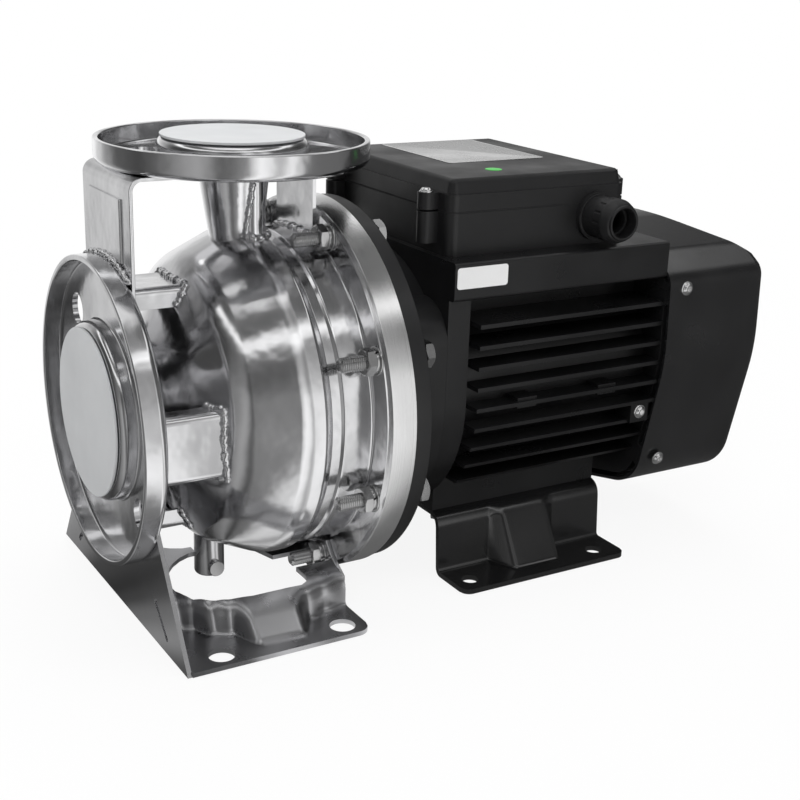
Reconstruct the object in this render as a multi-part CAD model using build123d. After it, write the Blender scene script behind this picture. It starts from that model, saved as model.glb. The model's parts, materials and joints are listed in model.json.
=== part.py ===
from build123d import *
import math
import os

# Port and shaft positions, origin at the centre of the pump foot's bolt pattern
shaft_height = 112.0
discharge_x = 9.5
discharge_port_x = 12.5
suction_reach = 80.0
discharge_reach = 140.0

# Sheet thicknesses and clearances
casing_sheet = 2.0
flange_sheet = 3.0
strut_sheet = 2.0
foot_sheet = 2.5
motor_foot_sheet = 3.0
seat_gap = 0.3
running_gap = 0.5
bend_radius = 5.0

# Pipe flanges
suction_flange_radius = 82.5
suction_face_radius = 48.0
suction_bore_radius = 30.0
suction_bolt_circle = 125.0
discharge_flange_radius = 72.0
discharge_face_radius = 40.0
discharge_bore_radius = 17.0
discharge_bolt_circle = 100.0
pipe_flange_depth = 13.0
pipe_bolt_hole = 18.0
pipe_bolt_count = 4
pipe_bolt_room = 14.0
pan_bend_radius = 3.0

# Transit covers over the two ports
suction_cover_radius = 45.0
discharge_cover_radius = 38.0
cover_thickness = 1.5
cover_spigot_depth = 5.0
cover_spigot_wall = 2.0

# Pressed casing, radii of the sheet's middle line and distances from the discharge axis
neck_radius = 32.0
neck_end = 52.0
dome_shoulder = 27.0
dome_shoulder_radius = 77.0
band_start = 3.0
band_end = 13.0
band_step = 2.0
groove_start = 17.5
groove_end = 23.5
groove_depth = 1.5
rear_band_start = 25.0
casing_flange_start = 41.0
neck_bend = 10.0
dome_bend = 20.0
band_bend = 18.0
groove_bend = 2.0
flange_bend = 2.5

# Bolted joint between casing, cover and adaptor
cover_ring_radius = 106.0
cover_ring_length = 14.0
cover_ring_wall = 18.0
cover_wall = 3.0
gasket_thickness = 1.5
gasket_width = 6.0
adaptor_flange_length = 10.0
cover_rim = 8.0
casing_flange_rim = 5.5
adaptor_flange_rim = 6.5
bolt_count = 8
bolt_diameter = 8.0
bolt_length = 48.0
bolt_flats = 13.0
bolt_head_height = 5.3
nut_height = 6.5
washer_radius = 7.5
washer_thickness = 1.6
bolt_clearance = 0.5

# Channels between the suction flange and the dome
rib_width = 36.0
rib_radius = 67.5
side_rib_drop = 4.0
rib_depth = 11.0
rib_count = 4
rib_bend = 3.0

# Discharge neck, post and struts
neck_top_radius = 21.0
neck_foot_radius = 12.5
neck_foot_shift = 1.5
neck_foot_drop = 66.0
post_radius = 6.5
post_x = 6.0
post_y = -12.0
strut_half_width = 35.0
strut_foot_height = 156.0
strut_shelf = 22.0
strut_bend = 6.0
panel_width = 46.0
panel_margin = 12.0
panel_thickness = 1.2
rear_strut_half_width = 22.0
rear_strut_shelf = 14.0

# Drain boss under the casing
drain_x = 15.5
drain_y = -4.0
drain_radius = 8.5
drain_bottom = 7.5
drain_plug_radius = 4.5
drain_plug_head = 3.0
drain_plug_height = 13.5

# Pump foot
foot_plate_half_base = 98.0
foot_plate_half_top = 53.0
foot_plate_height = 70.0
foot_hole_span_x = 70.0
foot_hole_span_y = 176.0
foot_hole_radius = 7.0
foot_half_width = 98.5
foot_rear_x = 47.5
foot_corner_radius = 8.0
saddle_room = 3.0
saddle_wall_step = 3.0
saddle_side_bend = 8.0
window_front_x = -39.5
window_outer_y = 62.0
window_tongue_y = 10.0
window_rear_x = 27.0
window_rear_slope_x = 12.0
window_corner_radius = 20.0
tongue_end_x = -17.5
slot_length = 24.0
slot_width = 3.0
slot_center_y = 62.5
slot_center_z = 16.0
slot_angle = 45.0
yoke_side_step = 24.5
yoke_side_drop = 4.5
yoke_slope_step = 12.5
yoke_slope_rise = 2.5
yoke_notch_half_width = 28.0
yoke_notch_share = 5 / 12

# Saddle side, distance along the foot with the half widths at its base and at its top
saddle_side = (
    (-55.0, 52.0, 47.0),
    (-36.0, 52.0, 50.0),
    (-30.0, 66.0, 58.0),
    (-20.0, 69.0, 63.0),
    (-13.0, 88.0, 65.0),
    (12.0, 88.0, 65.0),
    (24.0, 72.0, 66.0),
    (48.0, 66.0, 64.0),
)

# Adaptor between pump and motor
adaptor_drum_radius = 78.0
adaptor_drum_length = 25.0
adaptor_wall = 6.0
adaptor_shoulder = 58.0
adaptor_corner = 24.0
bearing_hub_wall = 6.0

# Motor frame
motor_core_radius = 69.0
motor_bore_radius = 60.0
motor_half_width = 82.0
motor_top = 81.0
motor_corner = 8.0
motor_length = 146.0
front_collar_length = 14.0
front_collar_radius = 77.0
fin_start = 18.0
fin_pitch = 11.9
fin_thickness = 2.4
lowest_fin_drop = 50.5
fin_count = 9
panel_bottom = 60.0
frame_web_half_width = 54.0
rail_half_span = 40.0
rail_width = 14.0
endshield_thickness = 5.0

# Electric core and bearings
stator_start = 26.0
stator_length = 84.0
stator_bore_radius = 35.0
winding_length = 12.0
winding_outer = 56.0
winding_inner = 39.0
end_ring_length = 6.0
end_ring_outer = 31.0
bearing_outer_radius = 23.5
bearing_inner_radius = 10.0
bearing_width = 14.0
bearing_race = 4.5

# Shaft steps, radii from the impeller end to the fan end
nut_seat_radius = 6.0
impeller_seat_radius = 7.0
seal_seat_radius = 8.0
rotor_seat_radius = 13.0
fan_seat_radius = 7.0
shaft_tip = 3.0

# Impeller, guide and seal, distances from the discharge axis
impeller_front_x = 17.0
impeller_back_x = 33.0
impeller_radius = 64.0
impeller_eye_radius = 27.0
impeller_eye_length = 10.0
shroud_thickness = 2.0
vane_count = 6
vane_thickness = 2.0
vane_sweep = 70.0
vane_middle_share = 0.38
hub_radius = 15.0
hub_end_x = 38.0
impeller_nut_flats = 19.0
impeller_nut_length = 8.0
key_width = 4.0
key_height = 4.0
wear_ring_wall = 3.0
wear_ring_length = 5.0
guide_wall = 1.5
guide_plate_x = 36.0
guide_lead = 14.0
spiral_points = 9
spiral_start_radius = 67.0
spiral_end_room = 8.0
spiral_turn = 330.0
seal_face_x = 45.0
seal_seat_length = 6.0
seal_outer_radius = 14.0
seal_hub_radius = 20.0
seal_ring_length = 3.0

# Fan and fan cover
fan_cover_length = 75.5
fan_cover_half_width = 87.5
fan_cover_top = 82.5
fan_cover_depth = 88.0
fan_cover_wall = 2.0
roof_inset = 19.5
roof_fall = 9.5
cheek_inset = 1.5
cheek_fall = 21.5
knee_height = 10.0
heel_inset = 18.0
heel_rise = 15.5
ridge_bend = 100.0
roof_bend = 14.0
cheek_bend = 12.0
knee_bend = 120.0
heel_bend = 28.0
brow_length = 26.0
brow_fall = 18.0
brow_bend = 24.0
cover_rear_bend = 7.0
fan_radius = 70.0
fan_blade_count = 7
fan_blade_thickness = 2.5
fan_blade_width = 20.0
fan_hub_radius = 16.0
fan_blade_root = 1.0
fan_offset = 8.0
grille_ring_count = 3
grille_first_radius = 30.0
grille_ring_pitch = 15.0
grille_slot_width = 8.0
grille_sector_count = 6
grille_bar_angle = 14.0

# Motor foot
motor_foot_start = 106.2
motor_foot_length = 117.0
motor_foot_half_width = 85.0
motor_foot_corner = 6.0
motor_foot_wall_y = 55.0
motor_foot_lean = 3.0
motor_foot_drop = 74.0
motor_hole_span_x = 90.0
motor_hole_span_y = 146.0
motor_hole_radius = 5.0
motor_hole_margin = 11.1
motor_foot_bend = 4.0
gusset_width = 44.0
gusset_reach = 18.0
gusset_drop = 4.0
gusset_hollow = 2.5

# Terminal box
box_start = 96.0
box_length = 117.5
box_half_width = 68.0
box_height = 23.0
box_wall = 3.0
box_corner = 6.0
lid_gasket_thickness = 1.0
lid_band = 9.0
lid_height = 17.0
lid_step = 1.2
lid_inset = 3.0
ear_radius = 4.7
ear_offset = 5.0
ear_span = 104.0
ear_height = 34.0
screw_head_radius = 4.0
screw_head_height = 2.2
gland_x = 193.0
gland_drop = 7.0
gland_body_radius = 12.0
gland_body_length = 13.0
gland_nut_flats = 24.0
gland_nut_chamfer = 1.0
gland_nut_length = 13.0
gland_bore_radius = 7.0
gland_seal_wall = 2.0
board_thickness = 5.0
board_length = 45.0
board_width = 50.0
stud_radius = 2.5
stud_height = 9.0
nameplate_length = 66.0
nameplate_width = 78.0
nameplate_thickness = 0.6
nameplate_x = 160.0
nameplate_y = 21.0
side_label_length = 32.0
side_label_height = 11.5
side_label_x = 109.5
side_label_z = 184.7

# Small screws and their seats on the frame and the fan cover
case_screw_radius = 4.2
case_screw_head = 2.6
side_screw_x = 228.0
side_screw_z = 91.3
side_pad_size = 13.0
pad_inset = 2.0
fin_pad_stations = (145.0, 201.7)
fin_pad_z = 109.1
fin_pad_height = 6.0
frame_skin = 3.0
cover_screw_offset = 12.0
upper_screw_height = 53.5
upper_screw_inset = 1.1
lower_screw_drop = 55.5
lug_width = 12.0
endshield_air_gap = 3.0

# Places worked out from the sizes above
rear_band_radius = cover_ring_radius - cover_ring_wall
band_radius = rear_band_radius + band_step
groove_radius = rear_band_radius - groove_depth
bolt_circle_radius = cover_ring_radius - cover_rim
casing_flange_radius = bolt_circle_radius + casing_flange_rim
adaptor_flange_radius = bolt_circle_radius + adaptor_flange_rim
spiral_end_radius = rear_band_radius - spiral_end_room
foot_room = shaft_height - rear_band_radius
saddle_height = foot_room - saddle_room
yoke_notch_height = foot_room * yoke_notch_share
motor_foot_height = shaft_height - motor_foot_drop
suction_face_x = discharge_x - suction_reach
flange_back_x = suction_face_x + pipe_flange_depth
discharge_z = shaft_height + discharge_reach
discharge_back_z = discharge_z - pipe_flange_depth
casing_flange_x = discharge_x + casing_flange_start
ring_front_x = casing_flange_x + casing_sheet
ring_back_x = ring_front_x + cover_ring_length
adaptor_back_x = ring_back_x + adaptor_flange_length
motor_front_x = adaptor_back_x + adaptor_drum_length
motor_back_x = motor_front_x + motor_length
box_floor_z = shaft_height + motor_top
box_top_z = box_floor_z + box_height
lid_floor_z = box_top_z + lid_gasket_thickness
front_bearing_x = motor_front_x - bearing_width
rear_bearing_x = motor_back_x - bearing_width
stator_x = motor_front_x + stator_start
fan_x = motor_back_x + fan_offset
cover_screw_x = motor_back_x + cover_screw_offset
shaft_axis = Axis((0, 0, shaft_height), (1, 0, 0))
side_section = Plane(origin=(0, 0, shaft_height), x_dir=(1, 0, 0), z_dir=(0, -1, 0))


def along_shaft(x):
    return Plane(origin=(x, 0, shaft_height), x_dir=(0, 1, 0), z_dir=(1, 0, 0))


def ring(start, end, outer, inner=0.0):
    section = Circle(outer)
    if inner > 0:
        section -= Circle(inner)
    return extrude(along_shaft(start) * section, amount=end - start)


def sheet_profile(points, bends, thickness):
    return trace(FilletPolyline(*points, radius=bends), line_width=thickness)


def hexagon(flats):
    return RegularPolygon(flats / 2, 6, major_radius=False)


def block(x_range, y_range, z_range):
    low, high = zip(x_range, y_range, z_range)
    size = [b - a for a, b in zip(low, high)]
    corner = Align.MIN
    return Pos(*low) * Box(*size, align=(corner, corner, corner))


def pan_flange(outer, face, bore, bolt_circle):
    half = flange_sheet / 2
    web = pipe_flange_depth - half
    points = ((outer - half, 0), (outer - half, web), (face - half, web), (face - half, half), (bore, half))
    profile = sheet_profile(points, pan_bend_radius, flange_sheet)
    pan = revolve(Plane.XZ * profile, Axis.Z)
    hole = Cylinder(pipe_bolt_hole / 2, 4 * pipe_flange_depth)
    return pan - PolarLocations(bolt_circle / 2, pipe_bolt_count, start_angle=180 / pipe_bolt_count) * hole


def suction_plane():
    return Plane(origin=(suction_face_x, 0, shaft_height), x_dir=(0, 1, 0), z_dir=(1, 0, 0))


def discharge_plane():
    return Plane(origin=(discharge_port_x, 0, discharge_z), x_dir=(1, 0, 0), z_dir=(0, 0, -1))


def suction_flange():
    pan = pan_flange(suction_flange_radius, suction_face_radius, suction_bore_radius, suction_bolt_circle)
    return suction_plane() * pan


def discharge_flange():
    pan = pan_flange(
        discharge_flange_radius, discharge_face_radius, discharge_bore_radius, discharge_bolt_circle
    )
    return discharge_plane() * pan


def port_cover(radius, bore):
    disc = Pos(0, 0, -seat_gap - cover_thickness / 2) * Cylinder(radius, cover_thickness)
    spigot_radius = bore - seat_gap
    spigot = Cylinder(spigot_radius, cover_spigot_depth) - Cylinder(
        spigot_radius - cover_spigot_wall, cover_spigot_depth
    )
    return disc + Pos(0, 0, cover_spigot_depth / 2 - seat_gap) * spigot


def suction_cover():
    return suction_plane() * port_cover(suction_cover_radius, suction_bore_radius)


def discharge_cover():
    return discharge_plane() * port_cover(discharge_cover_radius, discharge_bore_radius)


def casing_path():
    points = (
        (suction_face_x + flange_sheet, neck_radius),
        (discharge_x - neck_end, neck_radius),
        (discharge_x - dome_shoulder, dome_shoulder_radius),
        (discharge_x + band_start, band_radius),
        (discharge_x + band_end, band_radius),
        (discharge_x + groove_start, groove_radius),
        (discharge_x + groove_end, groove_radius),
        (discharge_x + rear_band_start, rear_band_radius),
        (casing_flange_x + casing_sheet / 2, rear_band_radius),
        (casing_flange_x + casing_sheet / 2, casing_flange_radius),
    )
    step_bend = groove_bend / 4
    outer_bends = [neck_bend, dome_bend, band_bend]
    groove_bends = [groove_bend, groove_bend, step_bend, step_bend]
    return FilletPolyline(*points, radius=outer_bends + groove_bends + [flange_bend])


def casing_pressing():
    profile = side_section * trace(casing_path(), line_width=casing_sheet)
    return revolve(profile, shaft_axis)


def casing_envelope(pressing):
    path = casing_path()
    start = path @ 0
    end = path @ 1
    closing = Polyline((end.X, end.Y), (end.X, 0), (start.X, 0), (start.X, start.Y))
    inside = revolve(side_section * make_face([path, closing]), shaft_axis)
    return pressing + inside


def neck_solid(inset):
    top = Plane(origin=(discharge_port_x, 0, discharge_z - flange_sheet))
    foot = Plane(origin=(discharge_port_x + neck_foot_shift, 0, discharge_z - neck_foot_drop))
    return loft([top * Circle(neck_top_radius - inset), foot * Circle(neck_foot_radius - inset)], ruled=True)


def casing_shell(pressing):
    shell = pressing - neck_solid(casing_sheet)
    return shell - bolt_places(casing_flange_x) * bolt_hole(casing_sheet)


def discharge_neck(envelope):
    return neck_solid(0) - neck_solid(casing_sheet) - envelope


def neck_post(envelope):
    height = discharge_back_z - shaft_height - rear_band_radius / 2
    bar = Pos(discharge_port_x + post_x, post_y, discharge_back_z - height / 2)
    bar *= Cylinder(post_radius, height)
    return bar - neck_solid(0) - envelope


def casing_ribs(envelope):
    half = rib_width / 2 - casing_sheet / 2
    web = rib_radius - casing_sheet / 2
    root = rib_radius - rib_depth
    channel = sheet_profile(((-half, root), (-half, web), (half, web), (half, root)), rib_bend, casing_sheet)
    starts = [flange_back_x, flange_back_x + strut_sheet, flange_back_x, flange_back_x + foot_sheet]
    ribs = []
    for index, start in enumerate(starts):
        turn = Rot(0, 0, 360 / rib_count * index - 90)
        drop = Pos(0, 0) if index % 2 else Pos(0, -side_rib_drop)
        bar = extrude(along_shaft(start) * drop * turn * channel, amount=discharge_x - start)
        ribs.append(bar - envelope)
    return Compound(children=ribs)


def bolt_rooms(center_plane, bolt_circle):
    rooms = center_plane * PolarLocations(bolt_circle / 2, pipe_bolt_count, start_angle=180 / pipe_bolt_count)
    return rooms * Cylinder(pipe_bolt_room, 4 * pipe_flange_depth)


def front_strut():
    middle = flange_back_x + strut_sheet / 2
    shelf = discharge_back_z - strut_sheet / 2
    points = ((middle, strut_foot_height), (middle, shelf), (middle + strut_shelf, shelf))
    profile = Plane.XZ * sheet_profile(points, strut_bend, strut_sheet)
    strap = extrude(profile, amount=strut_half_width, both=True)
    low = strut_foot_height + panel_margin
    high = discharge_back_z - panel_margin
    proud = (flange_back_x - panel_thickness, flange_back_x)
    strap += block(proud, (-panel_width / 2, panel_width / 2), (max(low, rim_top_z()), high))
    return strap - bolt_rooms(suction_plane(), suction_bolt_circle)


def rim_top_z():
    return shaft_height + suction_flange_radius + seat_gap


def rear_strut(envelope):
    middle = casing_flange_x - strut_sheet / 2
    shelf = discharge_back_z - strut_sheet / 2
    points = ((middle, shaft_height + rear_band_radius), (middle, shelf), (middle - rear_strut_shelf, shelf))
    profile = Plane.XZ * sheet_profile(points, strut_bend, strut_sheet)
    return extrude(profile, amount=rear_strut_half_width, both=True) - envelope


def drain_boss(envelope):
    top = shaft_height - neck_radius
    height = top - drain_bottom
    boss = Pos(discharge_x - drain_x, drain_y, drain_bottom + height / 2) * Cylinder(drain_radius, height)
    boss = fillet(boss.edges().filter_by(GeomType.CIRCLE).sort_by(Axis.Z)[0], bend_radius / 2)
    return boss - envelope - drain_plug_place() * Cylinder(drain_plug_radius / 2, drain_radius)


def drain_plug_place():
    face_y = drain_y - drain_radius
    return Plane(origin=(discharge_x - drain_x, face_y, drain_plug_height), z_dir=(0, -1, 0))


def drain_plug():
    head = Cylinder(drain_plug_radius, drain_plug_head)
    shank = Pos(0, 0, -drain_radius / 4) * Cylinder(drain_plug_radius / 2, drain_radius / 2)
    plug = Pos(0, 0, drain_plug_head / 2) * head + shank
    return drain_plug_place() * plug


def cover_bore():
    return cover_ring_radius - cover_ring_wall


def casing_cover():
    band = ring(ring_front_x, ring_back_x, cover_ring_radius, cover_bore())
    wall = ring(ring_back_x - cover_wall, ring_back_x, cover_bore(), seal_outer_radius)
    hub = ring(discharge_x + seal_face_x, ring_back_x, seal_hub_radius, seal_outer_radius)
    shelf_start = discharge_x + seal_face_x + seal_seat_length
    shelf = ring(shelf_start, ring_back_x, seal_outer_radius, seal_seat_radius + running_gap)
    groove = ring(ring_front_x, ring_front_x + gasket_thickness, cover_bore() + gasket_width, cover_bore())
    body = band + wall + hub + shelf - groove
    return body - bolt_places(ring_front_x) * bolt_hole(cover_ring_length)


def casing_gasket():
    return ring(ring_front_x, ring_front_x + gasket_thickness, cover_bore() + gasket_width, cover_bore())


def motor_outline(radius, top, corner):
    upper = Pos(0, top / 2) * Rectangle(2 * radius, top)
    upper = fillet(upper.vertices().group_by(Axis.Y)[-1], corner)
    return upper + Circle(radius)


def motor_adaptor():
    flange = ring(ring_back_x, adaptor_back_x, adaptor_flange_radius, adaptor_drum_radius - adaptor_wall)
    outline = motor_outline(adaptor_drum_radius, adaptor_shoulder, adaptor_corner)
    drum = extrude(along_shaft(adaptor_back_x) * outline, amount=adaptor_drum_length)
    drum -= ring(adaptor_back_x, motor_front_x - adaptor_wall, adaptor_drum_radius - adaptor_wall)
    hub = ring(front_bearing_x, motor_front_x, bearing_outer_radius + bearing_hub_wall)
    pocket = ring(front_bearing_x, motor_front_x, bearing_outer_radius)
    body = flange + drum + hub - pocket
    return body - bolt_places(ring_back_x) * bolt_hole(adaptor_flange_length)


def bolt_places(x):
    half_step = 180 / bolt_count
    return along_shaft(x) * PolarLocations(bolt_circle_radius, bolt_count, start_angle=half_step)


def bolt_hole(thickness):
    return Cylinder(bolt_diameter / 2 + bolt_clearance, 4 * thickness)


def seat_shift(place):
    on_yoke = place.position.Z < shaft_height - bolt_circle_radius * math.cos(math.pi / 4)
    return -foot_sheet if on_yoke else 0.0


def casing_bolts():
    head = extrude(hexagon(bolt_flats), amount=bolt_head_height)
    shank = extrude(Circle(bolt_diameter / 2), amount=-bolt_length)
    return Compound(children=[place * (head + shank) for place in bolt_places(adaptor_back_x)])


def casing_washers():
    disc = Circle(washer_radius) - Circle(bolt_diameter / 2 + bolt_clearance / 2)
    washer = extrude(disc, amount=-washer_thickness)
    places = bolt_places(casing_flange_x)
    return Compound(children=[place * Pos(0, 0, seat_shift(place)) * washer for place in places])


def casing_nuts():
    section = hexagon(bolt_flats) - Circle(bolt_diameter / 2)
    nut = extrude(section, amount=-nut_height)
    places = bolt_places(casing_flange_x - washer_thickness)
    return Compound(children=[place * Pos(0, 0, seat_shift(place)) * nut for place in places])


def pump_foot_plate():
    points = (
        (-foot_plate_half_base, 0),
        (foot_plate_half_base, 0),
        (foot_plate_half_top, foot_plate_height),
        (-foot_plate_half_top, foot_plate_height),
    )
    outline = Pos(0, -shaft_height) * make_face(Polyline(*points, close=True))
    plate = extrude(along_shaft(flange_back_x) * outline, amount=foot_sheet)
    for side in (-1, 1):
        middle = Pos(side * slot_center_y, slot_center_z - shaft_height)
        slot = middle * Rot(0, 0, -side * slot_angle) * SlotOverall(slot_length, slot_width)
        plate -= extrude(along_shaft(flange_back_x) * slot, amount=foot_sheet)
    return plate - bolt_rooms(suction_plane(), suction_bolt_circle)


def saddle_outline(column, inset, reach):
    side = [(x, row[column] - inset) for x, row in zip(saddle_stations(reach), saddle_side)]
    mirrored = [(x, -y) for x, y in reversed(side)]
    outline = make_face(Polyline(*side, *mirrored, close=True))
    bends = outline.vertices().sort_by(Axis.X)[2:-2]
    return fillet(bends, saddle_side_bend)


def saddle_stations(reach):
    stations = [row[0] for row in saddle_side]
    stations[0] = flange_back_x + foot_sheet - reach
    stations[-1] = yoke_x() + reach
    return stations


def yoke_x():
    return casing_flange_x - foot_sheet


def saddle_form(inset, reach, base_z, top_z):
    base = Pos(0, 0, base_z) * saddle_outline(1, inset, reach)
    top = Pos(0, 0, top_z) * saddle_outline(2, inset, reach)
    return loft([base, top], ruled=True)


def saddle_window():
    rear_inner = window_rear_x - window_rear_slope_x
    points = (
        (window_front_x, window_tongue_y),
        (window_front_x, window_outer_y - window_corner_radius),
        (window_front_x + window_corner_radius, window_outer_y),
        (window_rear_x, window_outer_y),
        (rear_inner, window_tongue_y),
    )
    lobe = make_face(Polyline(*points, close=True))
    lobe = fillet(lobe.vertices().sort_by(Axis.X)[:2], window_tongue_y)
    middle_length = rear_inner - tongue_end_x
    middle = Pos(tongue_end_x + middle_length / 2, 0) * Rectangle(middle_length, 4 * window_tongue_y)
    return lobe + mirror(lobe, Plane.XZ) + middle + bolt_notches()


def bolt_notches():
    length = 2 * (yoke_x() - window_rear_x)
    width = 2 * washer_radius + bolt_diameter / 2
    spot_y = bolt_circle_radius * math.sin(math.pi / bolt_count)
    return Pos(yoke_x(), 0) * GridLocations(0, 2 * spot_y, 1, 2) * Rectangle(length, width)


def pump_foot_saddle():
    front = flange_back_x + foot_sheet
    length = foot_rear_x - front
    base = Pos(front + length / 2, 0) * Rectangle(length, 2 * foot_half_width)
    base = fillet(base.vertices().group_by(Axis.X)[-1], foot_corner_radius)
    base -= saddle_outline(1, saddle_wall_step, foot_sheet)
    holes = GridLocations(foot_hole_span_x, foot_hole_span_y, 2, 2) * Circle(foot_hole_radius)
    flanges = extrude(base - holes, amount=foot_sheet)
    pressing = saddle_form(0, 0, 0, saddle_height)
    pressing -= saddle_form(saddle_wall_step, foot_sheet, -foot_sheet / 4, saddle_height - foot_sheet)
    pressing -= Pos(0, 0, saddle_height / 2) * extrude(saddle_window(), amount=saddle_height)
    return pressing + flanges


def pump_foot_yoke():
    spot_y = bolt_circle_radius * math.sin(math.pi / bolt_count)
    spot_z = -bolt_circle_radius * math.cos(math.pi / bolt_count)
    side = [
        (spot_y + yoke_side_step, -shaft_height),
        (spot_y + yoke_side_step, spot_z - yoke_side_drop),
        (spot_y + yoke_slope_step, spot_z + yoke_slope_rise),
        (spot_y + yoke_slope_rise, spot_z + yoke_slope_step),
    ]
    mirrored = [(-y, z) for y, z in reversed(side)]
    plate = make_face(Polyline(*side, *mirrored, close=True))
    notch = Rectangle(2 * yoke_notch_half_width, yoke_notch_height)
    plate -= Circle(rear_band_radius + casing_sheet / 2 + flange_bend)
    plate -= Pos(0, yoke_notch_height / 2 - shaft_height) * notch
    yoke = extrude(along_shaft(yoke_x()) * plate, amount=foot_sheet)
    return yoke - bolt_places(yoke_x()) * bolt_hole(foot_sheet)


def inlet_guide():
    start = discharge_x - neck_end - guide_lead
    end = discharge_x + impeller_front_x - impeller_eye_length
    half = guide_wall / 2
    tube_radius = neck_radius - casing_sheet / 2 - half
    seat_radius = impeller_eye_radius + running_gap + wear_ring_wall + half
    points = (
        (start, tube_radius),
        (end - neck_bend, tube_radius),
        (end - guide_wall, seat_radius),
        (end + wear_ring_length, seat_radius),
    )
    return revolve(side_section * trace(Polyline(*points), line_width=guide_wall), shaft_axis)


def impeller():
    front = discharge_x + impeller_front_x
    back = discharge_x + impeller_back_x
    bore = impeller_seat_radius
    hub = ring(front + shroud_thickness, discharge_x + hub_end_x, hub_radius, bore)
    back_shroud = ring(back - shroud_thickness, back, impeller_radius, bore)
    half = shroud_thickness / 2
    eye = impeller_eye_radius - half
    points = (
        (front - impeller_eye_length, eye),
        (front + half, eye),
        (front + half, impeller_radius),
    )
    front_shroud = revolve(side_section * sheet_profile(points, [bend_radius], shroud_thickness), shaft_axis)
    vane = impeller_vane()
    vanes = [Rot(0, 0, 360 / vane_count * index) * vane for index in range(vane_count)]
    width = back - front - shroud_thickness
    blades = extrude(along_shaft(front + half) * Sketch(children=vanes), amount=width)
    wheel = hub + back_shroud + front_shroud
    for blade in blades.solids():
        wheel += blade
    return wheel - key_space(key_height / 2)


def impeller_vane():
    inner = impeller_eye_radius
    middle = (inner + impeller_radius) / 2
    outer = impeller_radius - shroud_thickness / 2
    tip = math.radians(vane_sweep)
    start = (inner, 0)
    bow = vane_middle_share * tip
    through = (middle * math.cos(bow), middle * math.sin(bow))
    end = (outer * math.cos(tip), outer * math.sin(tip))
    return trace(ThreePointArc(start, through, end), line_width=vane_thickness)


def volute_guide():
    plate_x = discharge_x + guide_plate_x
    edge = rear_band_radius - casing_sheet / 2
    disc = ring(plate_x, plate_x + guide_wall, edge, seal_hub_radius)
    points = []
    for step in range(spiral_points):
        share = step / (spiral_points - 1)
        angle = math.radians(spiral_turn * share)
        radius = spiral_start_radius + (spiral_end_radius - spiral_start_radius) * share
        points.append((radius * math.cos(angle), radius * math.sin(angle)))
    wall = trace(Spline(*points), line_width=guide_wall)
    length = guide_plate_x - impeller_front_x + running_gap
    return disc + extrude(along_shaft(plate_x) * wall, amount=-length)


def wear_ring():
    start = discharge_x + impeller_front_x - impeller_eye_length
    bore = impeller_eye_radius + running_gap
    return ring(start, start + wear_ring_length, bore + wear_ring_wall, bore)


def seal_seat():
    start = discharge_x + seal_face_x
    return ring(start, start + seal_seat_length, seal_outer_radius, seal_seat_radius + running_gap)


def seal_ring():
    end = discharge_x + seal_face_x - seat_gap
    return ring(end - seal_ring_length, end, seal_outer_radius - shroud_thickness, seal_seat_radius)


def seal_spring():
    end = discharge_x + seal_face_x - seat_gap - seal_ring_length
    return ring(discharge_x + hub_end_x, end, seal_outer_radius - 2 * shroud_thickness, seal_seat_radius)


def impeller_nut():
    start = discharge_x + impeller_front_x + shroud_thickness - impeller_nut_length
    section = hexagon(impeller_nut_flats) - Circle(nut_seat_radius)
    return extrude(along_shaft(start) * section, amount=impeller_nut_length)


def key_space(depth):
    front = discharge_x + impeller_front_x + shroud_thickness
    seat_z = shaft_height + impeller_seat_radius
    half = key_width / 2
    return block((front, discharge_x + hub_end_x), (-half, half), (seat_z - depth, seat_z + key_height / 2))


def impeller_key():
    return key_space(key_height / 2)


def shaft():
    hub_front = discharge_x + impeller_front_x + shroud_thickness
    tip = hub_front - impeller_nut_length - shaft_tip
    steps = (
        (tip, hub_front, nut_seat_radius),
        (hub_front, discharge_x + hub_end_x, impeller_seat_radius),
        (discharge_x + hub_end_x, front_bearing_x, seal_seat_radius),
        (front_bearing_x, motor_front_x, bearing_inner_radius),
        (motor_front_x, rear_bearing_x, rotor_seat_radius),
        (rear_bearing_x, motor_back_x, bearing_inner_radius),
        (motor_back_x, fan_x + fan_blade_width + shaft_tip, fan_seat_radius),
    )
    bar = ring(*steps[0])
    for step in steps[1:]:
        bar += ring(*step)
    return bar - key_space(key_height / 2)


def bearing_starts():
    return (front_bearing_x, rear_bearing_x)


def bearing_outer_races():
    inner = bearing_outer_radius - bearing_race
    rings = [ring(x, x + bearing_width, bearing_outer_radius, inner) for x in bearing_starts()]
    return Compound(children=rings)


def bearing_inner_races():
    outer = bearing_inner_radius + bearing_race
    rings = [ring(x, x + bearing_width, outer, bearing_inner_radius) for x in bearing_starts()]
    return Compound(children=rings)


def bearing_seals():
    outer = bearing_outer_radius - bearing_race
    inner = bearing_inner_radius + bearing_race + seat_gap
    rings = [ring(x, x + bearing_width, outer, inner) for x in bearing_starts()]
    return Compound(children=rings)


def stator_core():
    return ring(stator_x, stator_x + stator_length, motor_bore_radius, stator_bore_radius)


def stator_windings():
    front = ring(stator_x - winding_length, stator_x, winding_outer, winding_inner)
    end = stator_x + stator_length
    rear = ring(end, end + winding_length, winding_outer, winding_inner)
    return Compound(children=[front, rear])


def rotor_core():
    return ring(stator_x, stator_x + stator_length, stator_bore_radius - running_gap, rotor_seat_radius)


def rotor_end_rings():
    front = ring(stator_x - end_ring_length, stator_x, end_ring_outer, rotor_seat_radius)
    end = stator_x + stator_length
    rear = ring(end, end + end_ring_length, end_ring_outer, rotor_seat_radius)
    return Compound(children=[front, rear])


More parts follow.
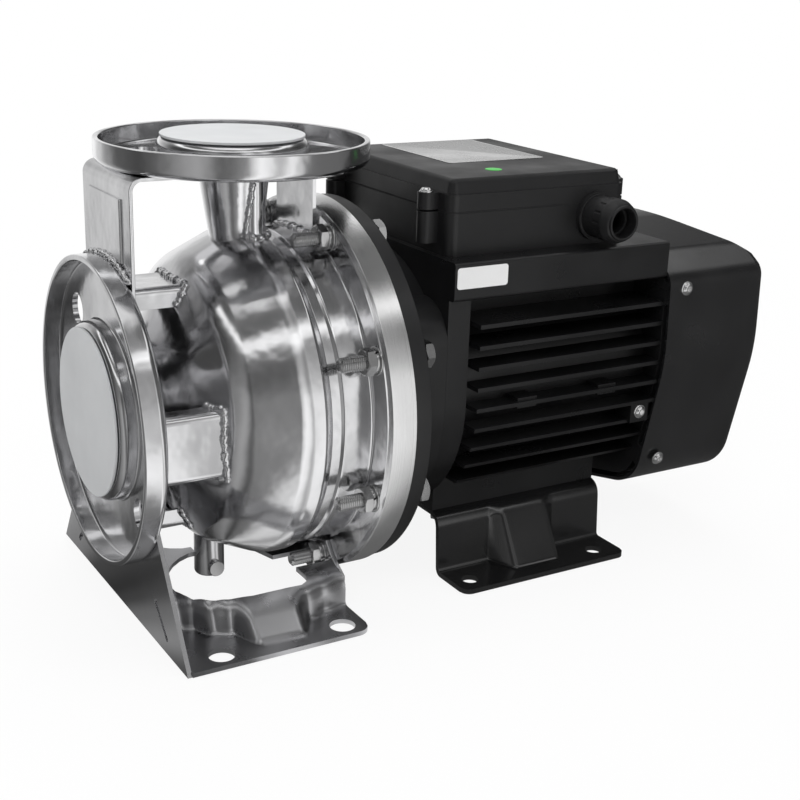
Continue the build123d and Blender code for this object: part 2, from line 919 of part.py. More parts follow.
def frame_fins():
    outline = Circle(motor_half_width) + Pos(0, motor_half_width / 2) * Rectangle(
        2 * motor_half_width, motor_half_width
    )
    fins = Sketch()
    for index in range(fin_count):
        height = index * fin_pitch - lowest_fin_drop
        fins += Pos(0, height) * Rectangle(2 * motor_half_width, fin_thickness)
    fins = (fins & outline) - Circle(motor_core_radius - fin_thickness)
    start = motor_front_x + fin_start
    return extrude(along_shaft(start) * fins, amount=motor_back_x - start)


def motor_frame():
    length = motor_length
    tube = ring(motor_front_x, motor_back_x, motor_core_radius)
    collar = extrude(
        along_shaft(motor_front_x) * motor_outline(front_collar_radius, motor_top, motor_corner),
        amount=front_collar_length,
    )
    panel_height = motor_top - panel_bottom
    panel = Pos(0, motor_top - panel_height / 2) * Rectangle(2 * motor_half_width, panel_height)
    panel = fillet(panel.vertices(), motor_corner / 4)
    web = Pos(0, panel_bottom - panel_height / 2) * Rectangle(2 * frame_web_half_width, panel_height)
    shoulder = extrude(along_shaft(motor_front_x) * (panel + web), amount=length)
    body = tube + collar + shoulder + frame_fins() + frame_rails() + screw_pads()
    return body - ring(motor_front_x, motor_back_x, motor_bore_radius)


def frame_rails():
    start = discharge_x + motor_foot_start
    low = motor_foot_height
    high = shaft_height - motor_bore_radius + rail_width
    rails = [
        block((start, start + motor_foot_length), (y - rail_width / 2, y + rail_width / 2), (low, high))
        for y in (-rail_half_span, rail_half_span)
    ]
    return rails[0] + rails[1] - ring(start, start + motor_foot_length, motor_core_radius - frame_skin)


def screw_pads():
    pads = []
    for side in (-1, 1):
        y_range = sorted((side * (motor_core_radius - frame_skin), side * (motor_half_width - pad_inset)))
        pads.append(square_pad(side_screw_x, side_screw_z, side_pad_size, y_range))
        for x in fin_pad_stations:
            pads.append(square_pad(x, fin_pad_z, fin_pad_height, y_range))
    return pads


def square_pad(x, z, size, y_range):
    center = discharge_x + x
    half = side_pad_size / 2
    return block((center - half, center + half), y_range, (z - size / 2, z + size / 2))


def frame_side_screws():
    screws = []
    for side in (-1, 1):
        place = Plane(
            origin=(discharge_x + side_screw_x, side * (motor_half_width - pad_inset), side_screw_z),
            z_dir=(0, side, 0),
        )
        screws.append(place * button_screw())
    return Compound(children=screws)


def button_screw():
    head = Pos(0, 0, case_screw_head / 2) * Cylinder(case_screw_radius, case_screw_head)
    return fillet(head.edges().sort_by(Axis.Z)[-1], case_screw_head / 2)


def cover_corners():
    wide = fan_cover_half_width
    top = fan_cover_top
    low = -fan_cover_depth
    return (
        (0, top, ridge_bend),
        (wide - roof_inset, top - roof_fall, roof_bend),
        (wide - cheek_inset, top - cheek_fall, cheek_bend),
        (wide, knee_height, knee_bend),
        (wide - heel_inset, low + heel_rise, heel_bend),
        (0, low, ridge_bend),
    )


def cover_section():
    side = list(cover_corners())
    mirrored = [(-y, z, bend) for y, z, bend in reversed(side[1:-1])]
    corners = side + mirrored
    section = make_face(Polyline(*[(y, z) for y, z, bend in corners], close=True))
    for y, z, bend in corners:
        section = fillet(section.vertices().sort_by_distance((y, z, 0))[0], bend)
    return section


def cover_brow(inset):
    end = motor_back_x + fan_cover_length - inset
    top = fan_cover_top - inset
    low = -2 * fan_cover_depth
    brow = (end - brow_length, top)
    points = ((motor_back_x, low), (end, low), (end, top - brow_fall), brow, (motor_back_x, top))
    outline = make_face(Polyline(*points, close=True))
    outline = fillet(outline.vertices().sort_by_distance((*brow, 0))[0], brow_bend)
    return extrude(side_section * outline, amount=2 * fan_cover_half_width, both=True)


def cover_form(section, inset):
    form = extrude(along_shaft(motor_back_x) * section, amount=fan_cover_length - inset)
    form &= cover_brow(inset)
    rear = form.faces().sort_by(Axis.X)[-1]
    return fillet(rear.edges(), cover_rear_bend - inset)


def cover_inside():
    return cover_form(offset(cover_section(), amount=-fan_cover_wall), fan_cover_wall)


def rear_endshield():
    plate_end = motor_back_x + endshield_thickness
    outline = offset(cover_section(), amount=-fan_cover_wall - endshield_air_gap)
    plate = extrude(along_shaft(motor_back_x) * outline, amount=endshield_thickness)
    spigot = ring(motor_back_x - endshield_thickness, motor_back_x, motor_bore_radius)
    spigot -= ring(motor_back_x - endshield_thickness, motor_back_x, motor_bore_radius - endshield_thickness)
    hub = ring(rear_bearing_x, motor_back_x, bearing_outer_radius + bearing_hub_wall)
    lug_end = cover_screw_x + lug_width / 2
    lug = cover_lug(lug_end - motor_back_x)
    lugs = [along_shaft(motor_back_x) * Rot(0, 0, angle) * lug for angle in lug_angles()]
    sweep = ring(plate_end, lug_end + lug_width, fan_radius + 3 * running_gap)
    arms = (lugs[0] + lugs[1] + lugs[2] + lugs[3]) & cover_inside()
    body = plate + spigot + hub + (arms - sweep)
    body -= ring(rear_bearing_x, motor_back_x, bearing_outer_radius)
    return body - ring(motor_back_x, plate_end, rotor_seat_radius)


def cover_lug(length):
    bar = Box(2 * fan_cover_half_width, lug_width, length, align=(Align.MIN, Align.CENTER, Align.MIN))
    return Pos(motor_core_radius - lug_width, 0, 0) * bar


def lower_screw_y():
    knee_y, knee_z = cover_corners()[3][:2]
    heel_y, heel_z = cover_corners()[4][:2]
    share = (knee_z + lower_screw_drop) / (knee_z - heel_z)
    return knee_y + (heel_y - knee_y) * share


def lug_angles():
    upper = math.degrees(math.atan2(upper_screw_height, fan_cover_half_width))
    lower = math.degrees(math.atan2(lower_screw_drop, lower_screw_y()))
    return (upper, 180 - upper, 180 + lower, 360 - lower)


def fan_cover_screws():
    screws = []
    lean = math.atan2(heel_inset, knee_height + fan_cover_depth - heel_rise)
    upper_y = fan_cover_half_width - upper_screw_inset
    for side in (-1, 1):
        upper = Plane(
            origin=(cover_screw_x, side * upper_y, shaft_height + upper_screw_height),
            z_dir=(0, side, 0),
        )
        lower = Plane(
            origin=(cover_screw_x, side * lower_screw_y(), shaft_height - lower_screw_drop),
            z_dir=(0, side * math.cos(lean), -math.sin(lean)),
        )
        screws += [upper * button_screw(), lower * button_screw()]
    return Compound(children=screws)


def fan_cover():
    shell = cover_form(cover_section(), 0) - cover_inside()
    return shell - cover_grille()


def cover_grille():
    back = along_shaft(motor_back_x + fan_cover_length - 2 * fan_cover_wall)
    slots = Sketch()
    sector = 360 / grille_sector_count
    for index in range(grille_ring_count):
        radius = grille_first_radius + index * grille_ring_pitch
        arc = CenterArc((0, 0), radius, grille_bar_angle / 2, sector - grille_bar_angle)
        slot = trace(arc, line_width=grille_slot_width)
        for turn in range(grille_sector_count):
            slots += Rot(0, 0, sector * turn) * slot
    return extrude(back * slots, amount=4 * fan_cover_wall)


def fan():
    hub = ring(fan_x, fan_x + fan_blade_width, fan_hub_radius, fan_seat_radius)
    disc = ring(fan_x, fan_x + fan_blade_thickness, fan_radius - fan_hub_radius / 2, fan_seat_radius)
    span = fan_radius - fan_hub_radius + fan_blade_root
    blade = Box(span, fan_blade_thickness, fan_blade_width, align=(Align.MIN, Align.CENTER, Align.MIN))
    wheel = hub + disc
    for turn in range(fan_blade_count):
        angle = 360 / fan_blade_count * turn
        wheel += along_shaft(fan_x) * Rot(0, 0, angle) * Pos(fan_hub_radius - fan_blade_root, 0, 0) * blade
    return wheel


def fan_clip():
    start = fan_x + fan_blade_width
    return ring(start, start + shaft_tip / 2, fan_seat_radius + 3 * seat_gap, fan_seat_radius)


def motor_foot():
    half = motor_foot_sheet / 2
    top = motor_foot_height - half
    wall = motor_foot_wall_y
    points = (
        (-motor_foot_half_width, half),
        (-wall, half),
        (-wall + motor_foot_lean, top),
        (wall - motor_foot_lean, top),
        (wall, half),
        (motor_foot_half_width, half),
    )
    start = discharge_x + motor_foot_start
    floor = Plane(origin=(start, 0, 0), x_dir=(0, 1, 0), z_dir=(1, 0, 0))
    hat = extrude(floor * sheet_profile(points, motor_foot_bend, motor_foot_sheet), amount=motor_foot_length)
    middle = start + motor_foot_length / 2
    footprint = Rectangle(motor_foot_length, 2 * motor_foot_half_width)
    footprint = Pos(middle, 0) * fillet(footprint.vertices(), motor_foot_corner)
    hat &= extrude(footprint, amount=motor_foot_height)
    for side in (-1, 1):
        hat += gusset(middle, side)
    holes_x = motor_holes_x()
    holes = Pos(holes_x, 0, half) * GridLocations(motor_hole_span_x, motor_hole_span_y, 2, 2)
    hat -= holes * Cylinder(motor_hole_radius, 2 * motor_foot_sheet)
    screws = Pos(holes_x, 0, top) * GridLocations(motor_hole_span_x, 2 * rail_half_span, 2, 2)
    return hat - screws * Cylinder(bolt_diameter / 2 + bolt_clearance, 2 * motor_foot_sheet)


def motor_holes_x():
    return discharge_x + motor_foot_start + motor_hole_margin + motor_hole_span_x / 2


def gusset(middle, side):
    wall = motor_foot_wall_y
    low = motor_foot_sheet / 2
    high = motor_foot_height - gusset_drop
    root = wall - motor_foot_lean
    toe = wall + gusset_reach
    corner = Polyline((root, high), (root, low), (toe, low))
    hollow = ((root + toe) / 2 - gusset_hollow, (high + low) / 2 - gusset_hollow)
    outer = make_face([corner, ThreePointArc((toe, low), hollow, (root, high))])
    inner = Pos(-motor_foot_sheet, -motor_foot_sheet) * outer
    plane = Plane(origin=(middle, 0, 0), x_dir=(0, side, 0), z_dir=(side, 0, 0))
    skin = extrude(plane * outer, amount=gusset_width / 2, both=True)
    return skin - extrude(plane * inner, amount=gusset_width / 2 - motor_foot_sheet, both=True)


def motor_foot_screws():
    floor = motor_foot_height - motor_foot_sheet
    places = Pos(motor_holes_x(), 0, floor) * GridLocations(motor_hole_span_x, 2 * rail_half_span, 2, 2)
    head = extrude(hexagon(bolt_flats), amount=-bolt_head_height)
    shank = extrude(Circle(bolt_diameter / 2), amount=motor_foot_sheet)
    return Compound(children=[place * (head + shank) for place in places])


def box_center_x():
    return discharge_x + box_start + box_length / 2


def box_outline(inset):
    outline = Rectangle(box_length - 2 * inset, 2 * (box_half_width - inset))
    return fillet(outline.vertices(), max(box_corner - inset, box_wall / 2))


def ear_places(z):
    span_x = box_length + 2 * ear_offset
    return Pos(box_center_x(), 0, z) * GridLocations(span_x, ear_span, 2, 2)


def ears(low, high):
    span = box_length + 2 * ear_offset + 2 * ear_radius
    bar = extrude(SlotOverall(span, 2 * ear_radius), amount=high - low)
    return [Pos(box_center_x(), side * ear_span / 2, low) * bar for side in (-1, 1)]


def gland_plane():
    origin = (discharge_x + gland_x, -box_half_width, box_top_z - gland_drop)
    return Plane(origin=origin, x_dir=(1, 0, 0), z_dir=(0, -1, 0))


def terminal_box():
    place = Pos(box_center_x(), 0, box_floor_z)
    shell = place * extrude(box_outline(0), amount=box_height)
    cavity = place * Pos(0, 0, box_wall) * extrude(box_outline(box_wall), amount=box_height)
    boss = gland_plane() * extrude(Circle(gland_body_radius + box_wall / 2), amount=box_wall)
    hole = gland_plane() * Cylinder(gland_bore_radius, 4 * box_wall)
    body = shell + ears(box_top_z - ear_height / 2, box_top_z) + boss
    return body - cavity - hole


def lid_gasket():
    outline = box_outline(0) - box_outline(box_wall)
    return Pos(box_center_x(), 0, box_top_z) * extrude(outline, amount=lid_gasket_thickness)


def terminal_box_lid():
    place = Pos(box_center_x(), 0, lid_floor_z)
    band = extrude(box_outline(0), amount=lid_band)
    crown_base = Pos(0, 0, lid_band) * box_outline(lid_step)
    crown_top = Pos(0, 0, lid_height) * box_outline(lid_inset)
    crown = loft([crown_base, crown_top], ruled=True)
    cavity = extrude(box_outline(lid_inset + box_wall), amount=lid_height - box_wall)
    body = place * (band + crown) + ears(lid_floor_z, lid_floor_z + lid_band)
    return body - place * cavity


def lid_screws():
    head = Pos(0, 0, screw_head_height / 2) * Cylinder(screw_head_radius, screw_head_height)
    return Compound(children=[place * head for place in ear_places(lid_floor_z + lid_band)])


def terminal_board():
    size = (board_length, board_width, board_thickness)
    board = Pos(box_center_x(), 0, box_floor_z + box_wall + board_thickness / 2) * Box(*size)
    return board


def terminal_studs():
    spots = GridLocations(board_length / 3, board_width / 2, 3, 2)
    top = box_floor_z + box_wall + board_thickness
    stud = Pos(0, 0, stud_height / 2) * Cylinder(stud_radius, stud_height)
    return Compound(children=[Pos(box_center_x(), 0, top) * spot * stud for spot in spots])


def gland_body():
    section = Circle(gland_body_radius) - Circle(gland_bore_radius)
    return gland_plane() * Pos(0, 0, box_wall) * extrude(section, amount=gland_body_length - box_wall)


def gland_nut():
    section = hexagon(gland_nut_flats) - Circle(gland_bore_radius + gland_seal_wall)
    section &= Circle(gland_nut_flats / 2 + gland_nut_chamfer)
    return gland_plane() * Pos(0, 0, gland_body_length) * extrude(section, amount=gland_nut_length)


def gland_seal():
    section = Circle(gland_bore_radius + gland_seal_wall) - Circle(gland_bore_radius)
    length = gland_nut_length - gland_seal_wall
    return gland_plane() * Pos(0, 0, gland_body_length) * extrude(section, amount=length)


def nameplate():
    top = lid_floor_z + lid_height + nameplate_thickness / 2
    return Pos(discharge_x + nameplate_x, nameplate_y, top) * Box(
        nameplate_length, nameplate_width, nameplate_thickness
    )


def side_label():
    y = -motor_half_width - nameplate_thickness / 2
    return Pos(discharge_x + side_label_x, y, side_label_z) * Box(
        side_label_length, nameplate_thickness, side_label_height
    )


def build_parts():
    pressing = casing_pressing()
    envelope = casing_envelope(pressing)
    return {
        "suction_flange": suction_flange(),
        "discharge_flange": discharge_flange(),
        "suction_cover": suction_cover(),
        "discharge_cover": discharge_cover(),
        "casing_shell": casing_shell(pressing),
        "discharge_neck": discharge_neck(envelope),
        "neck_post": neck_post(envelope),
        "casing_ribs": casing_ribs(envelope),
        "front_strut": front_strut(),
        "rear_strut": rear_strut(envelope),
        "drain_boss": drain_boss(envelope),
        "drain_plug": drain_plug(),
        "casing_gasket": casing_gasket(),
        "casing_cover": casing_cover(),
        "motor_adaptor": motor_adaptor(),
        "casing_bolts": casing_bolts(),
        "casing_washers": casing_washers(),
        "casing_nuts": casing_nuts(),
        "pump_foot_plate": pump_foot_plate(),
        "pump_foot_saddle": pump_foot_saddle(),
        "pump_foot_yoke": pump_foot_yoke(),
        "inlet_guide": inlet_guide(),
        "volute_guide": volute_guide(),
        "wear_ring": wear_ring(),
        "impeller": impeller(),
        "impeller_key": impeller_key(),
        "impeller_nut": impeller_nut(),
        "seal_seat": seal_seat(),
        "seal_ring": seal_ring(),
        "seal_spring": seal_spring(),
        "shaft": shaft(),
        "bearing_outer_races": bearing_outer_races(),
        "bearing_inner_races": bearing_inner_races(),
        "bearing_seals": bearing_seals(),
        "stator_core": stator_core(),
        "stator_windings": stator_windings(),
        "rotor_core": rotor_core(),
        "rotor_end_rings": rotor_end_rings(),
        "motor_frame": motor_frame(),
        "frame_side_screws": frame_side_screws(),
        "rear_endshield": rear_endshield(),
        "fan": fan(),
        "fan_clip": fan_clip(),
        "fan_cover": fan_cover(),
        "fan_cover_screws": fan_cover_screws(),
        "motor_foot": motor_foot(),
        "motor_foot_screws": motor_foot_screws(),
        "terminal_box": terminal_box(),
        "terminal_box_lid": terminal_box_lid(),
        "lid_gasket": lid_gasket(),
        "lid_screws": lid_screws(),
        "terminal_board": terminal_board(),
        "terminal_studs": terminal_studs(),
        "gland_body": gland_body(),
        "gland_nut": gland_nut(),
        "gland_seal": gland_seal(),
        "nameplate": nameplate(),
        "side_label": side_label(),
    }


os.makedirs("parts", exist_ok=True)
for name, shape in build_parts().items():
    export_step(shape, f"parts/{name}.step")
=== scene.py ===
import json
import math
import bmesh
import bpy
from mathutils import Matrix, Vector


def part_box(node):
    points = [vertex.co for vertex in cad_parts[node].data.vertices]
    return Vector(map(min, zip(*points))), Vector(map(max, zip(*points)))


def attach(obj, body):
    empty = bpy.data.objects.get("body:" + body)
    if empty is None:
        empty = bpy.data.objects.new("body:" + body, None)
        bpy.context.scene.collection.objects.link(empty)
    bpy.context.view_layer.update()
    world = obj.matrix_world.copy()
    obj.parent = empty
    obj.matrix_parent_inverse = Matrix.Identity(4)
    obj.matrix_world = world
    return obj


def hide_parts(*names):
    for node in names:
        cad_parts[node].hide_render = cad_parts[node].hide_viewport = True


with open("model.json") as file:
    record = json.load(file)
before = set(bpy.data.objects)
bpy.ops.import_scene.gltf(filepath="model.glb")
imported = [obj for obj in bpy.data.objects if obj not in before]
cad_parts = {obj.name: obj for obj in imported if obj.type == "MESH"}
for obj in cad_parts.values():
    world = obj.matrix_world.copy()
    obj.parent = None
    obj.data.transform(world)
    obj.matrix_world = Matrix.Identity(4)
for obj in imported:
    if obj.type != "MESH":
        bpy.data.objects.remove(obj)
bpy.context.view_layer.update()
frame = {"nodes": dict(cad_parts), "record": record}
nodes = frame["nodes"]
record = frame["record"]
slotOfNode = {entry["node"]: entry["material_slot"] for entry in record["subparts"]}
bodyOfNode = {name: body for body, members in record["behaviour"]["bodies"].items() for name in members}
mm = 0.001
shaftHeight = (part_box("casing_cover")[0].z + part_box("casing_cover")[1].z) / 2

# Camera, fitted to the flange centres and the edges of both feet
cameraView = {
    "lens": 61.06,
    "place": (-0.279353, -0.659292, 0.348785),
    "pitch": 18.494,
    "yaw": 31.195,
    "roll": 1.845,
}


def placeCamera(view):
    pitch, yaw, roll = (math.radians(view[key]) for key in ("pitch", "yaw", "roll"))
    ahead = Vector((math.sin(yaw) * math.cos(pitch), math.cos(yaw) * math.cos(pitch), -math.sin(pitch)))
    level = Vector((math.cos(yaw), -math.sin(yaw), 0))
    upright = level.cross(ahead)
    right = level * math.cos(roll) + upright * math.sin(roll)
    up = upright * math.cos(roll) - level * math.sin(roll)
    turn = Matrix((right, up, -ahead)).transposed().to_4x4()
    bpy.ops.object.camera_add()
    camera = bpy.context.object
    camera.matrix_world = Matrix.Translation(view["place"]) @ turn
    camera.data.lens = view["lens"]
    bpy.context.scene.camera = camera


placeCamera(cameraView)
print("camera placed")


# Small helpers for the edit mode work
def dropSelection():
    for item in list(bpy.context.selected_objects):
        item.select_set(False)


def pick(piece):
    dropSelection()
    piece.select_set(True)
    bpy.context.view_layer.objects.active = piece


def openEdit(piece, parts="FACE", everything=False):
    pick(piece)
    bpy.ops.object.mode_set(mode="EDIT")
    bpy.ops.mesh.select_mode(type=parts)
    bpy.ops.mesh.select_all(action="SELECT" if everything else "DESELECT")


def closeEdit():
    bpy.ops.object.mode_set(mode="OBJECT")


def choose(piece, kind, test):
    mesh = bmesh.from_edit_mesh(piece.data)
    for part in getattr(mesh, kind):
        part.select_set(bool(test(part)))
    mesh.select_flush_mode()
    bmesh.update_edit_mesh(piece.data)


def modify(piece, kind, **settings):
    pick(piece)
    modifier = piece.modifiers.new(kind.title(), kind)
    for key, value in settings.items():
        setattr(modifier, key, value)
    bpy.ops.object.modifier_apply(modifier=modifier.name)


def settle(piece):
    pick(piece)
    bpy.ops.object.transform_apply(location=True, rotation=True, scale=True)


# Edges sharper than this many degrees stay crisp
creases = {
    "sheet": 35,
    "turned": 30,
    "hexagon": 25,
    "pressing": 40,
    "bead": 60,
    "plate": 20,
}


def smooth(piece, angle=creases["sheet"]):
    pick(piece)
    bpy.ops.object.shade_smooth_by_angle(angle=math.radians(angle))


def startShape(name, kind, **settings):
    dropSelection()
    getattr(bpy.ops.mesh, "primitive_" + kind + "_add")(**settings)
    piece = bpy.context.object
    piece.name = name
    piece.data.name = name
    settle(piece)
    return piece


def startRod(name, radius, length, spot, turn=(0, 0, 0), sides=48):
    size = {"radius": radius * mm, "depth": length * mm}
    return startShape(name, "cylinder", vertices=sides, location=spot, rotation=turn, **size)


def copyShape(piece, name):
    pick(piece)
    bpy.ops.object.duplicate(linked=False)
    copy = bpy.context.object
    copy.name = name
    copy.data.name = name
    return copy


def carve(piece, cutter, operation="DIFFERENCE"):
    modify(piece, "BOOLEAN", operation=operation, object=cutter, solver="EXACT")
    bpy.data.objects.remove(cutter)


def joinShapes(pieces, name):
    pick(pieces[0])
    for piece in pieces[1:]:
        piece.select_set(True)
    bpy.ops.object.join()
    whole = bpy.context.object
    whole.name = name
    whole.data.name = name
    return whole


def moveShape(piece, matrix):
    piece.matrix_world = matrix
    settle(piece)


# The object stands in a white room, and a ring of dark and light panels that only reflections see
studio = {
    "skyForMatt": 0.42,
    "floorDrop": -0.8,  # millimetres under the feet
    "floorColour": (0.86, 0.86, 0.86, 1),
    "floorRoughness": 0.9,
    "floorShine": 0.1,
    "glowNear": 0.90,
    "glowFar": 1.0,
    "glowStart": 0.35,
    "glowEnd": 1.1,
    "floorSize": 8.0,
    "softboxes": (
        # name, place, size in metres, power in watts
        ("keyBox", (-0.9, -1.1, 1.3), 1.0, 13.0),
        ("topBox", (0.2, 0.1, 1.6), 1.1, 12.0),
        ("sideBox", (1.5, -0.9, 0.9), 0.7, 5.0),
        ("backBox", (0.6, 1.5, 0.9), 1.0, 8.0),
    ),
    "aim": (0.08, 0, 0.12),
}


def put(tree, kind, inputs=None, **settings):
    node = tree.nodes.new("ShaderNode" + kind)
    for key, value in settings.items():
        setattr(node, key, value)
    for key, value in (inputs or {}).items():
        if isinstance(value, bpy.types.NodeSocket):
            tree.links.new(value, node.inputs[key])
        else:
            node.inputs[key].default_value = value
    return node


def seenDirectly(tree):
    rays = put(tree, "LightPath").outputs
    either = put(tree, "Math", {0: rays["Is Camera Ray"], 1: rays["Is Glossy Ray"]}, operation="MAXIMUM")
    seen = put(tree, "Math", {0: either.outputs[0], 1: rays["Is Transmission Ray"]}, operation="MAXIMUM")
    return seen.outputs[0]


def lightSky(values):
    world = bpy.data.worlds.new("studioSky")
    bpy.context.scene.world = world
    world.use_nodes = True
    tree = world.node_tree
    shade = tree.nodes["Background"]
    shade.inputs["Color"].default_value = (1, 1, 1, 1)
    strength = {"Value": seenDirectly(tree), "To Min": values["skyForMatt"], "To Max": 1.0}
    tree.links.new(put(tree, "MapRange", strength).outputs[0], shade.inputs["Strength"])


def layFloor(values):
    dropSelection()
    size, spot = values["floorSize"], (0, 0, values["floorDrop"] * mm)
    bpy.ops.mesh.primitive_grid_add(size=size, x_subdivisions=2, y_subdivisions=2, location=spot)
    floor = bpy.context.object
    floor.name = "studioFloor"
    material = bpy.data.materials.new("palePaper")
    material.use_nodes = True
    tree = material.node_tree
    matt = tree.nodes["Principled BSDF"]
    matt.inputs["Base Color"].default_value = values["floorColour"]
    matt.inputs["Roughness"].default_value = values["floorRoughness"]
    matt.inputs["Specular IOR Level"].default_value = values["floorShine"]
    place = put(tree, "TexCoord").outputs["Object"]
    away = put(tree, "VectorMath", {0: place}, operation="LENGTH").outputs["Value"]
    fade = {"Value": away, "From Min": values["glowStart"], "From Max": values["glowEnd"]}
    glow = put(tree, "MapRange", {**fade, "To Min": values["glowNear"], "To Max": values["glowFar"]})
    share = put(tree, "Math", {0: seenDirectly(tree), 1: glow.outputs[0]}, operation="MULTIPLY")
    white = put(tree, "Emission", {"Color": (1, 1, 1, 1), "Strength": 1.0})
    mix = put(tree, "MixShader", {0: share.outputs[0], 1: matt.outputs[0], 2: white.outputs[0]})
    tree.links.new(mix.outputs[0], tree.nodes["Material Output"].inputs["Surface"])
    floor.data.materials.append(material)


def addSoftboxes(values):
    aim = Vector(values["aim"])
    for name, place, size, power in values["softboxes"]:
        bpy.ops.object.light_add(type="AREA", location=place)
        lamp = bpy.context.object
        lamp.name = name
        lamp.data.size = size
        lamp.data.energy = power
        lamp.rotation_euler = (aim - Vector(place)).to_track_quat("-Z", "Y").to_euler()
        lamp.visible_glossy = False


# Panels: pairs of an azimuth in degrees from +X and the light there, then the same by the height in degrees
panels = {
    "radius": 2.4,
    "segments": 64,
    "floorPart": -0.4,  # millimetres, just over the paper
    "eyeHeight": 0.12,
    "around": (
        (-180, 0.10), (-160, 0.28), (-140, 0.42), (-122, 0.12), (-110, 0.24), (-103, 0.26), (-98, 0.85),
        (-91, 1.25), (-84, 1.10), (-76, 0.55), (-71, 0.70), (-64, 1.20), (-57, 0.75), (-49, 0.18),
        (-40, 0.15), (-18, 0.14), (4, 0.05), (30, 0.10), (58, 0.85), (90, 1.05), (108, 0.70),
        (124, 0.34), (142, 0.10), (166, 0.06),
    ),
    "standing": ((-90, 0.5), (-30, 0.95), (-15, 1.0), (8, 0.95), (24, 0.55), (40, 0.25), (90, 0.2)),
    "overhead": (
        (-90, 0.0), (30, 0.02), (38, 0.10), (46, 1.30), (54, 0.10), (64, 0.10), (74, 0.90), (90, 1.10),
    ),
}


def addRamp(tree, value, stops, low, high):
    ramp = put(tree, "ValToRGB", {0: value})
    points = ramp.color_ramp.elements
    ramp.color_ramp.interpolation = "EASE"
    while len(points) < len(stops):
        points.new(0.5)
    for point, (position, light) in zip(points, stops):
        point.position = (position - low) / (high - low)
        point.color = (light, light, light, 1)
    return ramp.outputs[0]


def raisePanels(values):
    sides = {"segments": values["segments"], "ring_count": values["segments"] // 2}
    tent = startShape("panelRing", "uv_sphere", radius=values["radius"], **sides)
    openEdit(tent)
    choose(tent, "faces", lambda face: face.calc_center_median().z < 0)
    bpy.ops.mesh.delete(type="FACE")
    bpy.ops.mesh.select_mode(type="EDGE")
    bpy.ops.mesh.select_all(action="DESELECT")
    bpy.ops.mesh.select_non_manifold()
    bpy.ops.mesh.edge_face_add()
    closeEdit()
    tent.location.z = values["floorPart"] * mm
    settle(tent)
    material = bpy.data.materials.new("panelCloth")
    material.use_nodes = True
    tree = material.node_tree
    tree.nodes.remove(tree.nodes["Principled BSDF"])
    place = put(tree, "TexCoord").outputs["Object"]
    parts = put(tree, "SeparateXYZ", {0: place})
    turn = put(tree, "Math", {0: parts.outputs["Y"], 1: parts.outputs["X"]}, operation="ARCTAN2").outputs[0]
    around = put(tree, "MapRange", {"Value": turn, "From Min": -math.pi, "From Max": math.pi}).outputs[0]
    closing = (180, values["around"][0][1])
    sideLight = addRamp(tree, around, (*values["around"], closing), -180, 180)
    flat = put(tree, "CombineXYZ", {"X": parts.outputs["X"], "Y": parts.outputs["Y"]})
    away = put(tree, "VectorMath", {0: flat.outputs[0]}, operation="LENGTH").outputs["Value"]
    rise = put(tree, "Math", {0: parts.outputs["Z"], 1: values["eyeHeight"]}, operation="SUBTRACT")
    lean = put(tree, "Math", {0: rise.outputs[0], 1: away}, operation="ARCTAN2").outputs[0]
    span = {"From Min": -math.pi / 2, "From Max": math.pi / 2}
    height = put(tree, "MapRange", {"Value": lean, **span}).outputs[0]
    standing = addRamp(tree, height, values["standing"], -90, 90)
    overhead = addRamp(tree, height, values["overhead"], -90, 90)
    light = put(tree, "Math", {0: sideLight, 1: standing, 2: overhead}, operation="MULTIPLY_ADD").outputs[0]
    glow = put(tree, "Emission", {"Color": (1, 1, 1, 1), "Strength": light})
    tree.links.new(glow.outputs[0], tree.nodes["Material Output"].inputs["Surface"])
    tent.data.materials.append(material)
    tent.visible_camera = False
    tent.visible_diffuse = False
    tent.visible_shadow = False
    tent.visible_transmission = False


lightSky(studio)
layFloor(studio)
addSoftboxes(studio)
raisePanels(panels)
print("studio set")


# Finishes
def newFinish(name):
    material = bpy.data.materials.new(name)
    material.use_nodes = True
    tree = material.node_tree
    place = put(tree, "TexCoord").outputs["Object"]
    return material, tree, tree.nodes["Principled BSDF"], place


def mottle(tree, place, scale, detail):
    return put(tree, "TexNoise", {"Vector": place, "Scale": scale, "Detail": detail}).outputs["Fac"]


# Most of a noise lies between these two values
noiseSpan = (0.3, 0.7)


def spread(tree, value, low, high):
    span = {"From Min": noiseSpan[0], "From Max": noiseSpan[1], "To Min": low, "To Max": high}
    return put(tree, "MapRange", {"Value": value, **span}).outputs[0]


# Sockets of a Mix node that mixes colours
colourA, colourB, colourOut = 6, 7, 2


def twoTone(tree, value, first, second):
    share = spread(tree, value, 0.0, 1.0)
    colours = {colourA: (*first, 1), colourB: (*second, 1)}
    return put(tree, "Mix", {0: share, **colours}, data_type="RGBA").outputs[colourOut]


def turnedLines(tree, place, scale):
    shifted = put(tree, "Mapping", {"Vector": place, "Location": (0, 0, -shaftHeight)})
    parts = put(tree, "SeparateXYZ", {0: shifted.outputs[0]})
    flat = put(tree, "CombineXYZ", {"Y": parts.outputs["Y"], "Z": parts.outputs["Z"]})
    radius = put(tree, "VectorMath", {0: flat.outputs[0]}, operation="LENGTH").outputs["Value"]
    rings = put(tree, "CombineXYZ", {"X": parts.outputs["X"], "Y": radius})
    return mottle(tree, rings.outputs[0], scale, detail=2.0)


def bump(tree, height, depth, under=None):
    inputs = {"Height": height, "Distance": depth, "Strength": 1.0}
    if under:
        inputs["Normal"] = under
    return put(tree, "Bump", inputs).outputs[0]


